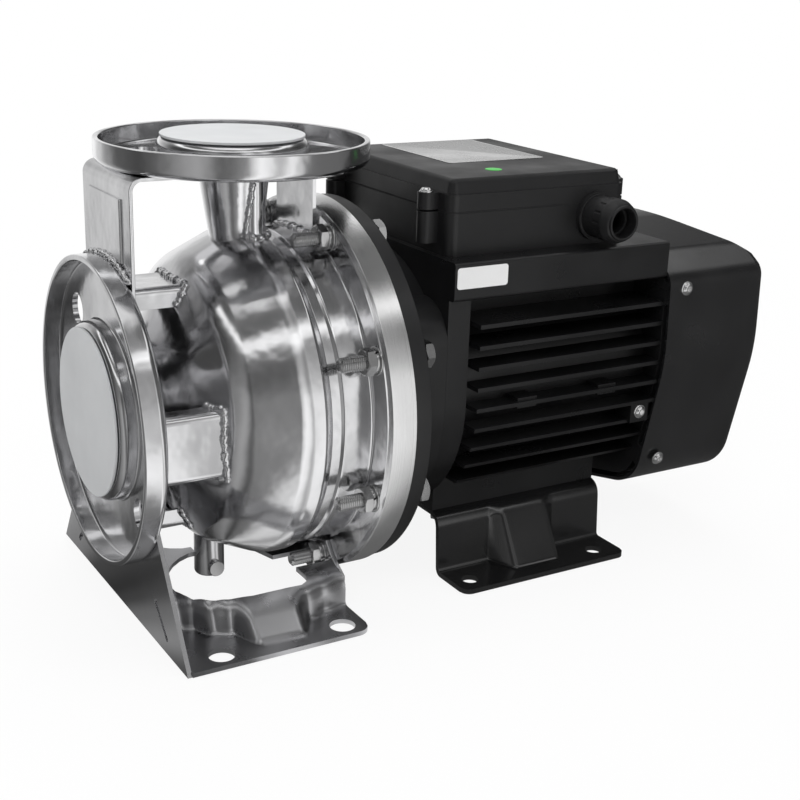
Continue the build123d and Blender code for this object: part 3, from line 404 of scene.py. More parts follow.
# Steel and paint: a pair is a noise's scale and detail, and the depths of the bumps are in metres
polishedSteel = {
    "light": (0.80, 0.80, 0.81),
    "dark": (0.68, 0.68, 0.69),
    "smooth": 0.11,
    "dull": 0.19,
    "patch": (9.0, 3.0),
    "smear": (60.0, 6.0),
    "wave": (16.0, 1.0),
    "waveDepth": 0.0030,
    "dimple": (60.0, 2.0),
    "dimpleDepth": 0.00040,
    "lines": 0.0,
    "lineDepth": 0.00004,
}


def makeSteel(name, values):
    material, tree, shader, place = newFinish(name)
    shader.inputs["Metallic"].default_value = 1.0
    tone = twoTone(tree, mottle(tree, place, *values["patch"]), values["dark"], values["light"])
    tree.links.new(tone, shader.inputs["Base Color"])
    gloss = spread(tree, mottle(tree, place, *values["smear"]), values["smooth"], values["dull"])
    tree.links.new(gloss, shader.inputs["Roughness"])
    relief = bump(tree, mottle(tree, place, *values["wave"]), values["waveDepth"])
    relief = bump(tree, mottle(tree, place, *values["dimple"]), values["dimpleDepth"], relief)
    if values["lines"]:
        relief = bump(tree, turnedLines(tree, place, values["lines"]), values["lineDepth"], relief)
    tree.links.new(relief, shader.inputs["Normal"])
    return material


blackPaint = {
    "tone": (0.0045, 0.0045, 0.005),
    "bloom": (0.010, 0.010, 0.0105),
    "smooth": 0.30,
    "dull": 0.48,
    "patch": (24.0, 5.0),
    "smear": (35.0, 4.0),
    "grain": (1400.0, 2.0),
    "grainDepth": 0.00005,
    "shine": 0.5,
}


def makePaint(name, values):
    material, tree, shader, place = newFinish(name)
    tone = twoTone(tree, mottle(tree, place, *values["patch"]), values["tone"], values["bloom"])
    tree.links.new(tone, shader.inputs["Base Color"])
    shader.inputs["Specular IOR Level"].default_value = values["shine"]
    gloss = spread(tree, mottle(tree, place, *values["smear"]), values["smooth"], values["dull"])
    tree.links.new(gloss, shader.inputs["Roughness"])
    relief = bump(tree, mottle(tree, place, *values["grain"]), values["grainDepth"])
    tree.links.new(relief, shader.inputs["Normal"])
    return material


def grey(light):
    return (light, light, light)


quietSteel = {**polishedSteel, "waveDepth": 0.0004, "dimpleDepth": 0.00006}
turnedSteel = {
    **quietSteel, "light": grey(0.86), "dark": grey(0.78), "smooth": 0.16, "dull": 0.24,
    "lines": 3600.0, "lineDepth": 0.00002,
}
satinSheet = {
    **quietSteel, "light": (0.50, 0.50, 0.51), "dark": (0.40, 0.40, 0.41), "smooth": 0.24, "dull": 0.36,
}
brushedSheet = {
    **quietSteel, "light": (0.62, 0.62, 0.63), "dark": (0.52, 0.52, 0.53), "smooth": 0.16, "dull": 0.28,
    "waveDepth": 0.0008,
}
boltSteel = {**quietSteel, "light": grey(0.62), "dark": grey(0.38), "smooth": 0.16, "dull": 0.30}
plateMetal = {**quietSteel, "light": grey(0.8), "dark": grey(0.7), "smooth": 0.2, "dull": 0.3}

blackAlloy = {**blackPaint, "smooth": 0.26, "dull": 0.4}
blackSheet = {
    **blackPaint, "smooth": 0.18, "dull": 0.28, "grain": (700.0, 2.0), "grainDepth": 0.00003, "shine": 0.9,
}
blackGloss = {
    **blackPaint, "tone": grey(0.010), "smooth": 0.16, "dull": 0.24, "grain": (300.0, 2.0),
    "grainDepth": 0.00003, "shine": 1.0,
}
blackPlastic = {**blackPaint, "smooth": 0.34, "dull": 0.5}
darkRubber = {**blackPaint, "smooth": 0.6, "dull": 0.8}
paleFilm = {**blackPaint, "grain": (400.0, 2.0), "grainDepth": 0.00002}
greyCap = {**paleFilm, "tone": (0.55, 0.56, 0.57), "bloom": (0.62, 0.63, 0.64), "smooth": 0.35, "dull": 0.5}
whiteLabel = {**paleFilm, "tone": grey(0.78), "bloom": grey(0.84), "smooth": 0.4, "dull": 0.5}
dotGreen = {**paleFilm, "tone": (0.05, 0.42, 0.06), "bloom": (0.07, 0.5, 0.08), "smooth": 0.35, "dull": 0.45}

finishes = {
    "polished": makeSteel("polishedSteel", polishedSteel),
    "turned": makeSteel("turnedSteel", turnedSteel),
    "satin": makeSteel("satinSheet", satinSheet),
    "sheet": makeSteel("brushedSheet", brushedSheet),
    "bolt": makeSteel("boltSteel", boltSteel),
    "plate": makeSteel("plateMetal", plateMetal),
    "cast": makePaint("blackCast", blackPaint),
    "alloy": makePaint("blackAlloy", blackAlloy),
    "sheetPaint": makePaint("blackSheet", blackSheet),
    "gloss": makePaint("blackGloss", blackGloss),
    "plastic": makePaint("blackPlastic", blackPlastic),
    "rubber": makePaint("darkRubber", darkRubber),
    "cap": makePaint("greyCap", greyCap),
    "paper": makePaint("whiteLabel", whiteLabel),
    "green": makePaint("greenDot", dotGreen),
}
finishOfSlot = {
    "stainless": "polished",
    "turned_steel": "turned",
    "bolt_steel": "bolt",
    "foot_steel": "sheet",
    "black_cast": "cast",
    "black_alloy": "alloy",
    "black_sheet": "sheetPaint",
    "black_plastic": "plastic",
    "cap_plastic": "cap",
    "rubber": "rubber",
    "ceramic": "rubber",
    "copper": "bolt",
    "lamination": "bolt",
    "plate_metal": "plate",
    "label_film": "paper",
}
for name, node in nodes.items():
    node.data.materials.clear()
    node.data.materials.append(finishes[finishOfSlot[slotOfNode[name]]])
print("finishes set")


# Finished pieces are hung on the frame here
def hang(piece, standsFor, finish=None, hides=()):
    settle(piece)
    piece.data.materials.clear()
    piece.data.materials.append(finishes[finish or finishOfSlot[slotOfNode[standsFor]]])
    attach(piece, bodyOfNode[standsFor])
    if hides:
        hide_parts(*hides)


# Angles in degrees and lengths in millimetres
dressing = {
    "seam": 0.01,
    "flat": 0.2,
    "level": 0.02,
    "rimTurn": 57.0,
    "bendRounds": 4,
    "sharp": 30,
    "rounds": 2,
}


def dress(node, edge, values, bend=None):
    skin = bpy.data.objects.new(node + "_skin", nodes[node].data.copy())
    bpy.context.collection.objects.link(skin)
    pick(skin)
    if skin.data.has_custom_normals:
        bpy.ops.mesh.customdata_custom_splitnormals_clear()
    openEdit(skin, "VERT", everything=True)
    bpy.ops.mesh.remove_doubles(threshold=values["seam"] * mm)
    bpy.ops.mesh.dissolve_limited(angle_limit=math.radians(values["flat"]))
    if bend:
        level, width = bend
        bpy.ops.mesh.select_mode(type="EDGE")
        choose(skin, "edges", lambda part: liesOnRim(part, level * mm, values))
        bpy.ops.mesh.bevel(offset=width * mm, segments=values["bendRounds"], affect="EDGES")
    closeEdit()
    roundEdges(skin, edge, values["rounds"], values["sharp"])
    hang(skin, node, hides=(node,))


def liesOnRim(part, level, values):
    upper = all(abs(end.co.z - level) < values["level"] * mm for end in part.verts)
    return upper and math.degrees(part.calc_face_angle(0)) > values["rimTurn"]


def roundEdges(piece, width, rounds, sharp, crease=creases["sheet"]):
    limit = math.radians(sharp)
    modify(piece, "BEVEL", width=width * mm, segments=rounds, limit_method="ANGLE", angle_limit=limit)
    smooth(piece, crease)
    modify(piece, "WEIGHTED_NORMAL", keep_sharp=True)


# A line of points with rounded corners, turned round an axis
def drawProfile(name, rows, origin, along, outward, degreesPerStep):
    spots = [origin + along * (row[0] * mm) + outward * (row[1] * mm) for row in rows]
    line = startShape(name, "plane", size=mm, location=spots[0])
    openEdit(line, "VERT", everything=True)
    bpy.ops.mesh.merge(type="CENTER")
    for before, after in zip(spots, spots[1:]):
        bpy.ops.mesh.extrude_region_move(TRANSFORM_OT_translate={"value": after - before})
    for row, before, spot, after in zip(rows[1:], spots, spots[1:], spots[2:]):
        if len(row) > 2:
            roundCorner(line, before, spot, after, row[2] * mm, degreesPerStep)
    closeEdit()
    return line


def roundCorner(line, before, spot, after, radius, degreesPerStep):
    turn = (spot - before).angle(after - spot)
    steps = max(2, round(math.degrees(turn) / degreesPerStep))
    offset = radius * math.tan(turn / 2)
    nearby = 0.01 * mm
    choose(line, "verts", lambda vert: (vert.co - spot).length < nearby)
    bpy.ops.mesh.bevel(offset=offset, segments=steps, profile=0.5, affect="VERTICES", clamp_overlap=False)


# Points of a spun shape that lie this close become one, in millimetres
spinSeam = 0.001


def turnProfile(line, origin, along, steps):
    openEdit(line, "VERT", everything=True)
    bpy.ops.mesh.spin(steps=steps, angle=2 * math.pi, center=origin, axis=along)
    bpy.ops.mesh.select_all(action="SELECT")
    bpy.ops.mesh.remove_doubles(threshold=spinSeam * mm)
    bpy.ops.mesh.normals_make_consistent(inside=False)
    closeEdit()
    return line


def pressSheet(piece, thickness, lip):
    modify(piece, "SOLIDIFY", thickness=thickness * mm, offset=0, use_even_offset=True)
    roundEdges(piece, lip, rounds=3, sharp=60)


def turnSheet(name, rows, origin, along, outward, thickness, lip, steps, degreesPerStep):
    line = drawProfile(name, rows, origin, along, outward, degreesPerStep)
    piece = turnProfile(line, origin, along, steps)
    pressSheet(piece, thickness, lip)
    return piece


def turnSolid(name, rows, origin, along, outward, steps, degreesPerStep):
    line = drawProfile(name, rows, origin, along, outward, degreesPerStep)
    piece = turnProfile(line, origin, along, steps)
    smooth(piece, creases["turned"])
    return piece


alongShaft = Vector((1, 0, 0))
across = Vector((0, 1, 0))
upward = Vector((0, 0, 1))

# Pressed casing: distance along the shaft, radius and bend of the sheet's middle line in millimetres
casing = {
    "sheet": 2.0,
    "lip": 0.4,
    "steps": 192,
    "degreesPerStep": 4,
    "line": (
        (-67.5, 32.0), (-42.5, 32.0, 10.0), (-17.5, 77.0, 20.0), (12.5, 90.0, 18.0), (22.5, 90.0, 2.0),
        (27.0, 86.5, 2.0), (33.0, 86.5, 0.5), (34.5, 88.0, 0.5), (51.5, 88.0, 2.5), (51.5, 103.5),
    ),
    "portX": 13.6,
    "portRadius": 12.6,
    "portLow": 190.0,
    "portHigh": 215.0,
}


def makeCasing(values):
    centre = Vector((0, 0, shaftHeight))
    how = (values[key] for key in ("sheet", "lip", "steps", "degreesPerStep"))
    shell = turnSheet("pressedCasing", values["line"], centre, alongShaft, upward, *how)
    length = values["portHigh"] - values["portLow"]
    middle = (values["portX"] * mm, 0, values["portLow"] * mm + length * mm / 2)
    carve(shell, startRod("portCutter", values["portRadius"], length, middle, sides=64))
    smooth(shell)
    hang(shell, "casing_shell", hides=("casing_shell",))


# Pipe flanges pressed as pans: depth from the face, radius and bend of the middle line
pans = {
    "suctionPan": {
        "node": "suction_flange",
        "along": (1, 0, 0),
        "outward": (0, 0, 1),
        "line": ((0, 81.0), (11.5, 81.0, 3.0), (11.5, 46.5, 3.0), (1.5, 46.5, 3.0), (1.5, 30.0)),
        "holeCircle": 62.5,
    },
    "dischargePan": {
        "node": "discharge_flange",
        "along": (0, 0, -1),
        "outward": (1, 0, 0),
        "line": ((0, 70.5), (11.5, 70.5, 3.0), (11.5, 38.5, 3.0), (1.5, 38.5, 3.0), (1.5, 17.0)),
        "holeCircle": 50.0,
    },
    "sheet": 3.0,
    "lip": 0.7,
    "steps": 160,
    "degreesPerStep": 6,
    "holeCount": 4,
    "firstHole": 45,
    "holeRadius": 9.0,
    "drillDepth": 40.0,
}


def makePan(name, pan, values):
    along, outward = Vector(pan["along"]), Vector(pan["outward"])
    low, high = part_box(pan["node"])
    origin = (low + high) / 2 - along * (abs((high - low).dot(along)) / 2)
    how = (values[key] for key in ("sheet", "lip", "steps", "degreesPerStep"))
    sheet = turnSheet(name, pan["line"], origin, along, outward, *how)
    sideways = along.cross(outward)
    turn = along.to_track_quat("Z", "Y").to_euler()
    drills = []
    for index in range(values["holeCount"]):
        angle = math.radians(values["firstHole"] + 360 / values["holeCount"] * index)
        spot = origin + (outward * math.cos(angle) + sideways * math.sin(angle)) * (pan["holeCircle"] * mm)
        drills.append(startRod("drill", values["holeRadius"], values["drillDepth"], spot, turn))
    carve(sheet, joinShapes(drills, "drills"))
    smooth(sheet)
    hang(sheet, pan["node"], hides=(pan["node"],))


makeCasing(casing)
for name in ("suctionPan", "dischargePan"):
    makePan(name, pans[name], pans)
print("casing and pipe flanges pressed")

# Bolted joint: eight bolts with threads, flat and spring washers and nuts, all modelled once
bolting = {
    "count": 8,
    "circle": 98.0,
    "headSeat": 76.5,
    "length": 48.0,
    "radius": 3.95,
    "threadRoot": 3.35,
    "pitch": 1.25,
    "threads": 18,
    "crestStart": 0.35,  # shares of the pitch
    "crestEnd": 0.55,
    "tipChamfer": 0.7,
    "flats": 13.0,
    "headHeight": 5.3,
    "nutHeight": 5.0,
    "chamfer": 0.73,
    "flangeFace": 50.5,
    "lowerShift": -2.5,
    "flatWasher": 1.2,
    "flatWasherRadius": 7.5,
    "springWasher": 1.9,
    "springWasherRadius": 6.5,
    "washerEdge": 0.3,
    "slitSize": (1.0, 8.0, 8.0),
    "slitPlace": (0, 6.0, -2.0),
    "slitLean": 25,
    "bore": 4.1,
    "firstSpin": 11,  # how far each bolt and nut happened to be turned, in degrees
    "spinStep": 37,
}


# The chamfering form stands out from the hexagon's corners by this many millimetres
formSlack = 0.02


def makeHexagon(name, flats, height, chamfer, bore=0.0):
    corner = flats / math.sqrt(3)
    middle = (0, 0, height / 2 * mm)
    block = startRod(name, corner, height, middle, sides=6)
    small = corner - chamfer * math.sqrt(3)
    wide = corner + formSlack
    rows = ((0, 0), (0, small), (chamfer, wide), (height - chamfer, wide), (height, small), (height, 0))
    form = turnSolid("chamferForm", rows, Vector(), upward, across, steps=48, degreesPerStep=15)
    carve(block, form, "INTERSECT")
    if bore:
        carve(block, startRod("boreDrill", bore, 3 * height, middle, sides=32))
    smooth(block, creases["hexagon"])
    return block


def makeBolt(values):
    rows = [(-values["length"], 0), (-values["length"], values["threadRoot"] - values["tipChamfer"])]
    start = -values["length"] + values["tipChamfer"]
    for turn in range(values["threads"]):
        rows.append((start + turn * values["pitch"], values["threadRoot"]))
        rows.append((start + (turn + values["crestStart"]) * values["pitch"], values["radius"]))
        rows.append((start + (turn + values["crestEnd"]) * values["pitch"], values["radius"]))
    rows += [(0, values["radius"]), (0, 0)]
    shank = turnSolid("boltShank", rows, Vector(), upward, across, steps=24, degreesPerStep=15)
    head = makeHexagon("boltHead", values["flats"], values["headHeight"], values["chamfer"])
    return joinShapes([shank, head], "boltPattern")


def turnWasher(name, start, end, radius, values):
    bore, edge = values["bore"], values["washerEdge"]
    rows = ((start, bore), (start, radius, edge), (end, radius, edge), (end, bore), (start, bore))
    return turnSolid(name, rows, Vector(), -upward, across, steps=40, degreesPerStep=30)


def makeWashers(values):
    face = values["flatWasher"]
    back = face + values["springWasher"]
    disc = turnWasher("flatWasher", 0, face, values["flatWasherRadius"], values)
    spring = turnWasher("springWasher", face, back, values["springWasherRadius"], values)
    size, place = Vector(values["slitSize"]) * mm, Vector(values["slitPlace"]) * mm
    lean = (0, math.radians(values["slitLean"]), 0)
    carve(spring, startShape("slit", "cube", size=1, scale=size, rotation=lean, location=place))
    smooth(spring, creases["turned"])
    return joinShapes([disc, spring], "washerPattern")


def fastenCasing(values):
    nut = makeHexagon("nutPattern", values["flats"], values["nutHeight"], values["chamfer"], values["bore"])
    patterns = {"casingBolt": makeBolt(values), "casingWashers": makeWashers(values), "casingNut": nut}
    nodeOf = {"casingBolt": "casing_bolts", "casingWashers": "casing_washers", "casingNut": "casing_nuts"}
    swing = Matrix.Rotation(math.radians(90), 4, "Y")
    washerStack = values["flatWasher"] + values["springWasher"]
    for index in range(values["count"]):
        angle = math.radians(360 / values["count"] * (index + 0.5))
        y = values["circle"] * math.cos(angle)
        z = shaftHeight / mm + values["circle"] * math.sin(angle)
        low = z < shaftHeight / mm - values["circle"] * math.cos(math.pi / 4)
        shift = values["lowerShift"] if low else 0.0
        seats = {
            "casingBolt": values["headSeat"],
            "casingWashers": values["flangeFace"] + shift,
            "casingNut": values["flangeFace"] + shift - washerStack - values["nutHeight"],
        }
        spin = Matrix.Rotation(math.radians(values["spinStep"] * index + values["firstSpin"]), 4, "Z")
        for kind, pattern in patterns.items():
            piece = copyShape(pattern, f"{kind}{index + 1}")
            moveShape(piece, Matrix.Translation(Vector((seats[kind], y, z)) * mm) @ swing @ spin)
            hang(piece, nodeOf[kind], hides=(nodeOf[kind],))
    for pattern in patterns.values():
        bpy.data.objects.remove(pattern)


fastenCasing(bolting)
print("casing bolted")

# Edges of the pressed, cast and moulded pieces, rounded by this many millimetres
roundings = {
    "suction_cover": 0.4,
    "discharge_cover": 0.4,
    "casing_ribs": 0.5,
    "discharge_neck": 0.3,
    "neck_post": 0.3,
    "front_strut": 0.5,
    "rear_strut": 0.5,
    "drain_boss": 0.4,
    "drain_plug": 0.5,
    "casing_cover": 0.7,
    "pump_foot_plate": 0.5,
    "pump_foot_yoke": 0.5,
    "motor_adaptor": 1.2,
    "motor_frame": 0.5,
    "rear_endshield": 0.4,
    "fan_cover": 0.6,
    "terminal_box": 0.9,
    "terminal_box_lid": 0.9,
    "lid_gasket": 0.2,
}
# The lid's upper rim is a wider bend: its level and its width
lidTop = max(vert.co.z for vert in nodes["terminal_box_lid"].data.vertices) / mm
bends = {"terminal_box_lid": (lidTop, 2.2)}
for name, edge in roundings.items():
    dress(name, edge, dressing, bends.get(name))
print("edges rounded")


# Pressed feet: a sheet that bends from the flange up the wall and over the top, drawn section by section
pressing = {
    "rimShare": 0.4,
    "deckShares": (0.3, 0.65, 1.0),
    "bendPoints": 7,
    "bendLimit": 0.45,
    "drillSides": 40,
    "drillDepth": 20.0,
}


def bendCorner(before, corner, after, radius, values):
    back, ahead = before - corner, after - corner
    start = corner + back.normalized() * min(radius, values["bendLimit"] * back.length)
    end = corner + ahead.normalized() * min(radius, values["bendLimit"] * ahead.length)
    bend = []
    for index in range(values["bendPoints"]):
        share = index / (values["bendPoints"] - 1)
        rest = 1 - share
        bend.append(start * rest**2 + corner * (2 * share * rest) + end * share**2)
    return bend


def drawSection(edge, base, crest, foot, values):
    floor, top = foot["floor"], foot["top"]
    rim, root = Vector((edge, floor)), Vector((base, floor))
    brim, middle = Vector((crest, top)), Vector((0, top))
    run = [rim, rim.lerp(root, values["rimShare"])]
    run += bendCorner(rim, root, brim, foot["bends"][0], values)
    run += bendCorner(root, brim, middle, foot["bends"][1], values)
    run += [run[-1].lerp(middle, share) for share in values["deckShares"]]
    return run + [Vector((-spot.x, spot.y)) for spot in reversed(run[:-1])]


def cornerTrim(x, foot):
    radius = foot["corner"]
    near = min(abs(x - foot[end]) for end in foot["roundedEnds"])
    if near >= radius:
        return 0.0
    return radius - math.sqrt(max(0.0, radius**2 - (radius - near) ** 2))


def easeIn(share):
    return share * share * (3 - 2 * share)


def drawStations(foot):
    length, count = foot["rear"] - foot["front"], foot["stations"]
    return [foot["front"] + length * index / (count - 1) for index in range(count)]


def pressFoot(name, foot, wallAt, values):
    stations = drawStations(foot)
    sections = []
    for x in stations:
        base, crest = wallAt(x, foot)
        sections.append(drawSection(foot["halfWidth"] - cornerTrim(x, foot), base, crest, foot, values))
    rows, columns = len(stations) - 1, len(sections[0]) - 1
    grid = startShape(name, "grid", size=1, x_subdivisions=rows, y_subdivisions=columns)
    for vert in grid.data.vertices:
        row = round((vert.co.x + 0.5) * rows)
        spot = sections[row][round((0.5 - vert.co.y) * columns)]
        vert.co = Vector((stations[row], -spot.x, spot.y)) * mm
    openEdit(grid, "FACE", everything=True)
    bpy.ops.mesh.normals_make_consistent(inside=False)
    closeEdit()
    modify(grid, "SOLIDIFY", thickness=foot["sheet"] * mm, offset=0, use_even_offset=True)
    if "window" in foot:
        cutWindow(grid, foot["window"], foot["cutterStart"], foot["cutterHeight"])
    radius, depth = foot["holeRadius"], values["drillDepth"]
    spots = [(x * mm, y * mm, 0) for x, y in foot["holes"]]
    drills = [startRod("drill", radius, depth, spot, sides=values["drillSides"]) for spot in spots]
    carve(grid, joinShapes(drills, "drills"))
    roundEdges(grid, foot["lip"], rounds=2, sharp=50, crease=creases["pressing"])
    hang(grid, foot["node"], foot["finish"], hides=(foot["node"],))


# Pump foot saddle. A row of its side is a distance along the foot and the half widths at base and crest.
# The window is an opening in the deck, drawn for one half.
saddle = {
    "node": "pump_foot_saddle",
    "finish": "satin",
    "sheet": 2.5,
    "stations": 104,
    "front": -55.0,
    "rear": 48.0,
    "halfWidth": 98.5,
    "corner": 8.0,
    "roundedEnds": ("rear",),
    "floor": 1.25,
    "top": 19.75,
    "bends": (4.5, 12.0),
    "side": (
        (-55.0, 52.0, 46.0), (-43.0, 52.5, 46.5), (-37.0, 55.0, 53.0), (-30.0, 66.0, 60.5),
        (-20.5, 69.5, 66.0), (-12.0, 87.0, 68.0), (11.0, 88.0, 69.0), (23.0, 73.0, 69.0),
        (34.0, 69.0, 68.0), (48.0, 66.0, 66.0),
    ),
    "window": (
        (-14.0, 3.6), (-19.0, 4.0), (-25.0, 7.0), (-31.0, 12.0), (-35.0, 17.0), (-38.5, 24.0),
        (-41.5, 31.0), (-42.6, 37.5), (-41.8, 42.5), (-39.0, 48.0), (-35.5, 53.0), (-30.7, 57.6),
        (-26.0, 60.5), (-21.0, 62.6), (-14.0, 64.4), (-7.0, 65.3), (9.0, 65.6), (22.0, 65.4),
        (26.0, 63.5), (27.5, 60.0), (27.5, 47.2), (50.0, 47.2), (50.0, 27.8), (22.5, 27.8), (16.0, 6.0),
    ),
    "cutterStart": 11.75,
    "cutterHeight": 30.0,
    "holes": ((-35.0, -88.0), (-35.0, 88.0), (35.0, -88.0), (35.0, 88.0)),
    "holeRadius": 7.0,
    "lip": 0.5,
}


def saddleWall(x, foot):
    for before, after in zip(foot["side"], foot["side"][1:]):
        if x <= after[0]:
            share = easeIn((x - before[0]) / (after[0] - before[0]))
            return [low + (high - low) * share for low, high in zip(before[1:], after[1:])]
    return foot["side"][-1][1:]


def cutWindow(piece, outline, start, height):
    (x, y), *_ = outline
    cutter = startShape("windowCutter", "plane", size=mm, location=(x * mm, y * mm, start * mm))
    openEdit(cutter, "VERT", everything=True)
    bpy.ops.mesh.merge(type="CENTER")
    loop = [Vector((x, y, 0)) * mm for x, y in (*outline, *((x, -y) for x, y in reversed(outline)))]
    for before, after in zip(loop, loop[1:]):
        bpy.ops.mesh.extrude_region_move(TRANSFORM_OT_translate={"value": after - before})
    bpy.ops.mesh.select_all(action="SELECT")
    bpy.ops.mesh.edge_face_add()
    bpy.ops.mesh.extrude_region_move(TRANSFORM_OT_translate={"value": upward * height * mm})
    bpy.ops.mesh.select_all(action="SELECT")
    bpy.ops.mesh.normals_make_consistent(inside=False)
    closeEdit()
    carve(piece, cutter)


# Motor foot: a hat section with one pressed brace in the middle of each wall
motorFoot = {
    "node": "motor_foot",
    "finish": "gloss",
    "sheet": 3.0,
    "stations": 130,
    "front": 115.7,
    "rear": 232.7,
    "halfWidth": 85.0,
    "corner": 6.0,
    "roundedEnds": ("front", "rear"),
    "floor": 1.5,
    "top": 36.5,
    "bends": (3.5, 7.5),
    "base": 55.0,
    "crest": 52.5,
    "braceMiddle": 174.2,
    "braceToe": 14.0,
    "braceRoot": 23.5,
    "braceReach": 18.5,
    "holes": ((126.8, -73.0), (126.8, 73.0), (216.8, -73.0), (216.8, 73.0)),
    "holeRadius": 5.0,
    "lip": 0.6,
}


def motorFootWall(x, foot):
    away = abs(x - foot["braceMiddle"])
    share = min(1.0, max(0.0, (foot["braceRoot"] - away) / (foot["braceRoot"] - foot["braceToe"])))
    return foot["base"] + foot["braceReach"] * easeIn(share), foot["crest"]


pressFoot("saddlePressing", saddle, saddleWall, pressing)
pressFoot("motorFootPressing", motorFoot, motorFootWall, pressing)
print("feet pressed")

# Weld beads: overlapping drops along a path, melted into one
welds = {
    "drop": 1.7,
    "step": 0.9,
    "stray": 0.5,
    "strayWaves": ((2.4, 0), (3.7, 1), (5.1, 2)),  # turn per drop and start, in radians
    "sizeWaves": ((0.15, 1.9), (0.2, 0.63)),  # share of the drop's size and turn per drop
    "melt": 0.4,
    "dome": (-43.65, 32.0, 0.5556),  # outer skin of the cone: start, radius there, run per mm of radius
    "ribCount": 4,
    "ribHalf": 18.6,
    "ribReach": 67.9,
    "ribRoot": 57.0,
    "sideDrop": 4.0,
    "neckSeam": (
        (15.2, -18.4, 229.0), (14.9, -18.2, 225.0), (13.8, -17.0, 215.0), (13.0, -15.8, 206.0),
        (12.0, -17.0, 203.0),
    ),
    # centre and radius on the casing, casing radius there, first angle, angle per point and number of points
    "postFoot": (18.5, -12.0, 7.4, 91.2, 150, 25, 13),
    # distance along the shaft, half width, radius of what it lies on, points on each side and size
    "strutFoot": (47.6, 21.0, 89.6, 4, 0.9),
    "strapFoot": (-58.9, 34.0, 83.2, 6, 0.8),
    "seamSize": 0.8,
    "postSize": 1.15,
}


def domeSpot(values, turn, along, sideways, drop):
    start, radius, run = values["dome"]
    reach = math.hypot(along, sideways)
    angle = math.radians(turn) + math.atan2(sideways, along)
    y = reach * math.cos(angle)
    z = reach * math.sin(angle)
    away = math.hypot(y, z - drop)
    return Vector((start + (away - radius) * run, y, z - drop)) + Vector((0, 0, shaftHeight / mm))


def layBead(name, path, values, node, size=1.0):
    drops = []
    spots = [Vector(spot) for spot in path]
    count = 0
    for before, after in zip(spots, spots[1:]):
        pieces = max(1, round((after - before).length / (values["step"] * size)))
        for index in range(pieces):
            count += 1
            sway = Vector([math.sin(count * turn + start) for turn, start in values["strayWaves"]])
            spot = before.lerp(after, index / pieces) + sway * values["stray"] * size
            swell = sum(share * math.sin(count * turn) for share, turn in values["sizeWaves"])
            radius = values["drop"] * size * (1 + swell) * mm
            drops.append(startShape("drop", "ico_sphere", subdivisions=2, radius=radius, location=spot * mm))
    bead = joinShapes(drops, name)
    modify(bead, "REMESH", mode="VOXEL", voxel_size=values["melt"] * mm)
    smooth(bead, creases["bead"])
    hang(bead, node)


def aboveShaft(radius, y):
    return shaftHeight / mm + math.sqrt(radius**2 - y**2)


def layCrossBead(name, node, values, key):
    x, half, radius, count, size = values[key]
    reaches = [half * step / count for step in range(-count, count + 1)]
    layBead(name, [(x, y, aboveShaft(radius, y)) for y in reaches], values, node, size)


def weldCasing(values):
    root, reach, half = (values[key] for key in ("ribRoot", "ribReach", "ribHalf"))
    corners = ((root, -half), (reach, -half), (reach, 0), (reach, half), (root, half))
    for index in range(values["ribCount"]):
        turn = 360 / values["ribCount"] * index
        atSide = index % 2 == 0
        drop = values["sideDrop"] if atSide else 0.0
        path = [domeSpot(values, turn, along, sideways, drop) for along, sideways in corners]
        layBead(f"ribWeld{index + 1}", path, values, "casing_ribs")
    layBead("neckSeam", values["neckSeam"], values, "neck_post", values["seamSize"])
    x, y, radius, surface, first, between, count = values["postFoot"]
    ring = []
    for index in range(count):
        angle = math.radians(first + between * index)
        spotY = y + radius * math.sin(angle)
        ring.append((x + radius * math.cos(angle), spotY, aboveShaft(surface, spotY)))
    layBead("postWeld", ring, values, "neck_post", values["postSize"])
    layCrossBead("strutWeld", "rear_strut", values, "strutFoot")
    layCrossBead("strapWeld", "front_strut", values, "strapFoot")


weldCasing(welds)
print("welds laid")

# Cable gland: body, collar, cap with flutes and an open mouth, distance from the box wall and radius
gland = {
    "origin": (202.5, -68.0, 209.0),
    "body": ((0, 8.6), (0, 12.8), (3.2, 12.8, 0.6), (3.2, 11.8), (12.6, 11.8, 0.4), (12.6, 8.6), (0, 8.6)),
    "cap": (
        (12.7, 8.6), (12.7, 12.4, 0.5), (19.5, 12.4, 2.0), (24.2, 10.6, 1.5), (24.6, 9.8, 0.4),
        (26.0, 9.6, 0.6), (26.0, 8.2, 0.6), (20.0, 7.6), (20.0, 8.6), (12.7, 8.6),
    ),
    "fluteCount": 14,
    "fluteRadius": 1.1,
    "fluteCircle": 13.0,
    "fluteStart": 12.0,
    "fluteEnd": 18.0,
    "seal": ((13.0, 8.5), (13.0, 6.8, 0.5), (18.0, 6.8, 0.6), (18.0, 8.5), (13.0, 8.5)),
}


def makeGland(values):
    origin = Vector(values["origin"]) * mm
    body = turnSolid("glandBody", values["body"], origin, -across, upward, steps=64, degreesPerStep=20)
    hang(body, "gland_body", hides=("gland_body",))
    cap = turnSolid("glandCap", values["cap"], origin, -across, upward, steps=96, degreesPerStep=15)
    cutters = []
    length = values["fluteEnd"] - values["fluteStart"]
    middle = (values["fluteStart"] + values["fluteEnd"]) / 2 * mm
    flat = (math.pi / 2, 0, 0)
    for index in range(values["fluteCount"]):
        angle = 2 * math.pi * index / values["fluteCount"]
        offset = Vector((math.cos(angle), 0, math.sin(angle))) * values["fluteCircle"] * mm
        spot = origin - across * middle + offset
        cutters.append(startRod("flute", values["fluteRadius"], length, spot, flat, sides=12))
    carve(cap, joinShapes(cutters, "flutes"))
    smooth(cap, creases["turned"])
    hang(cap, "gland_nut", hides=("gland_nut",))
    seal = turnSolid("glandSeal", values["seal"], origin, -across, upward, steps=48, degreesPerStep=20)
    hang(seal, "gland_seal", hides=("gland_seal",))


makeGland(gland)

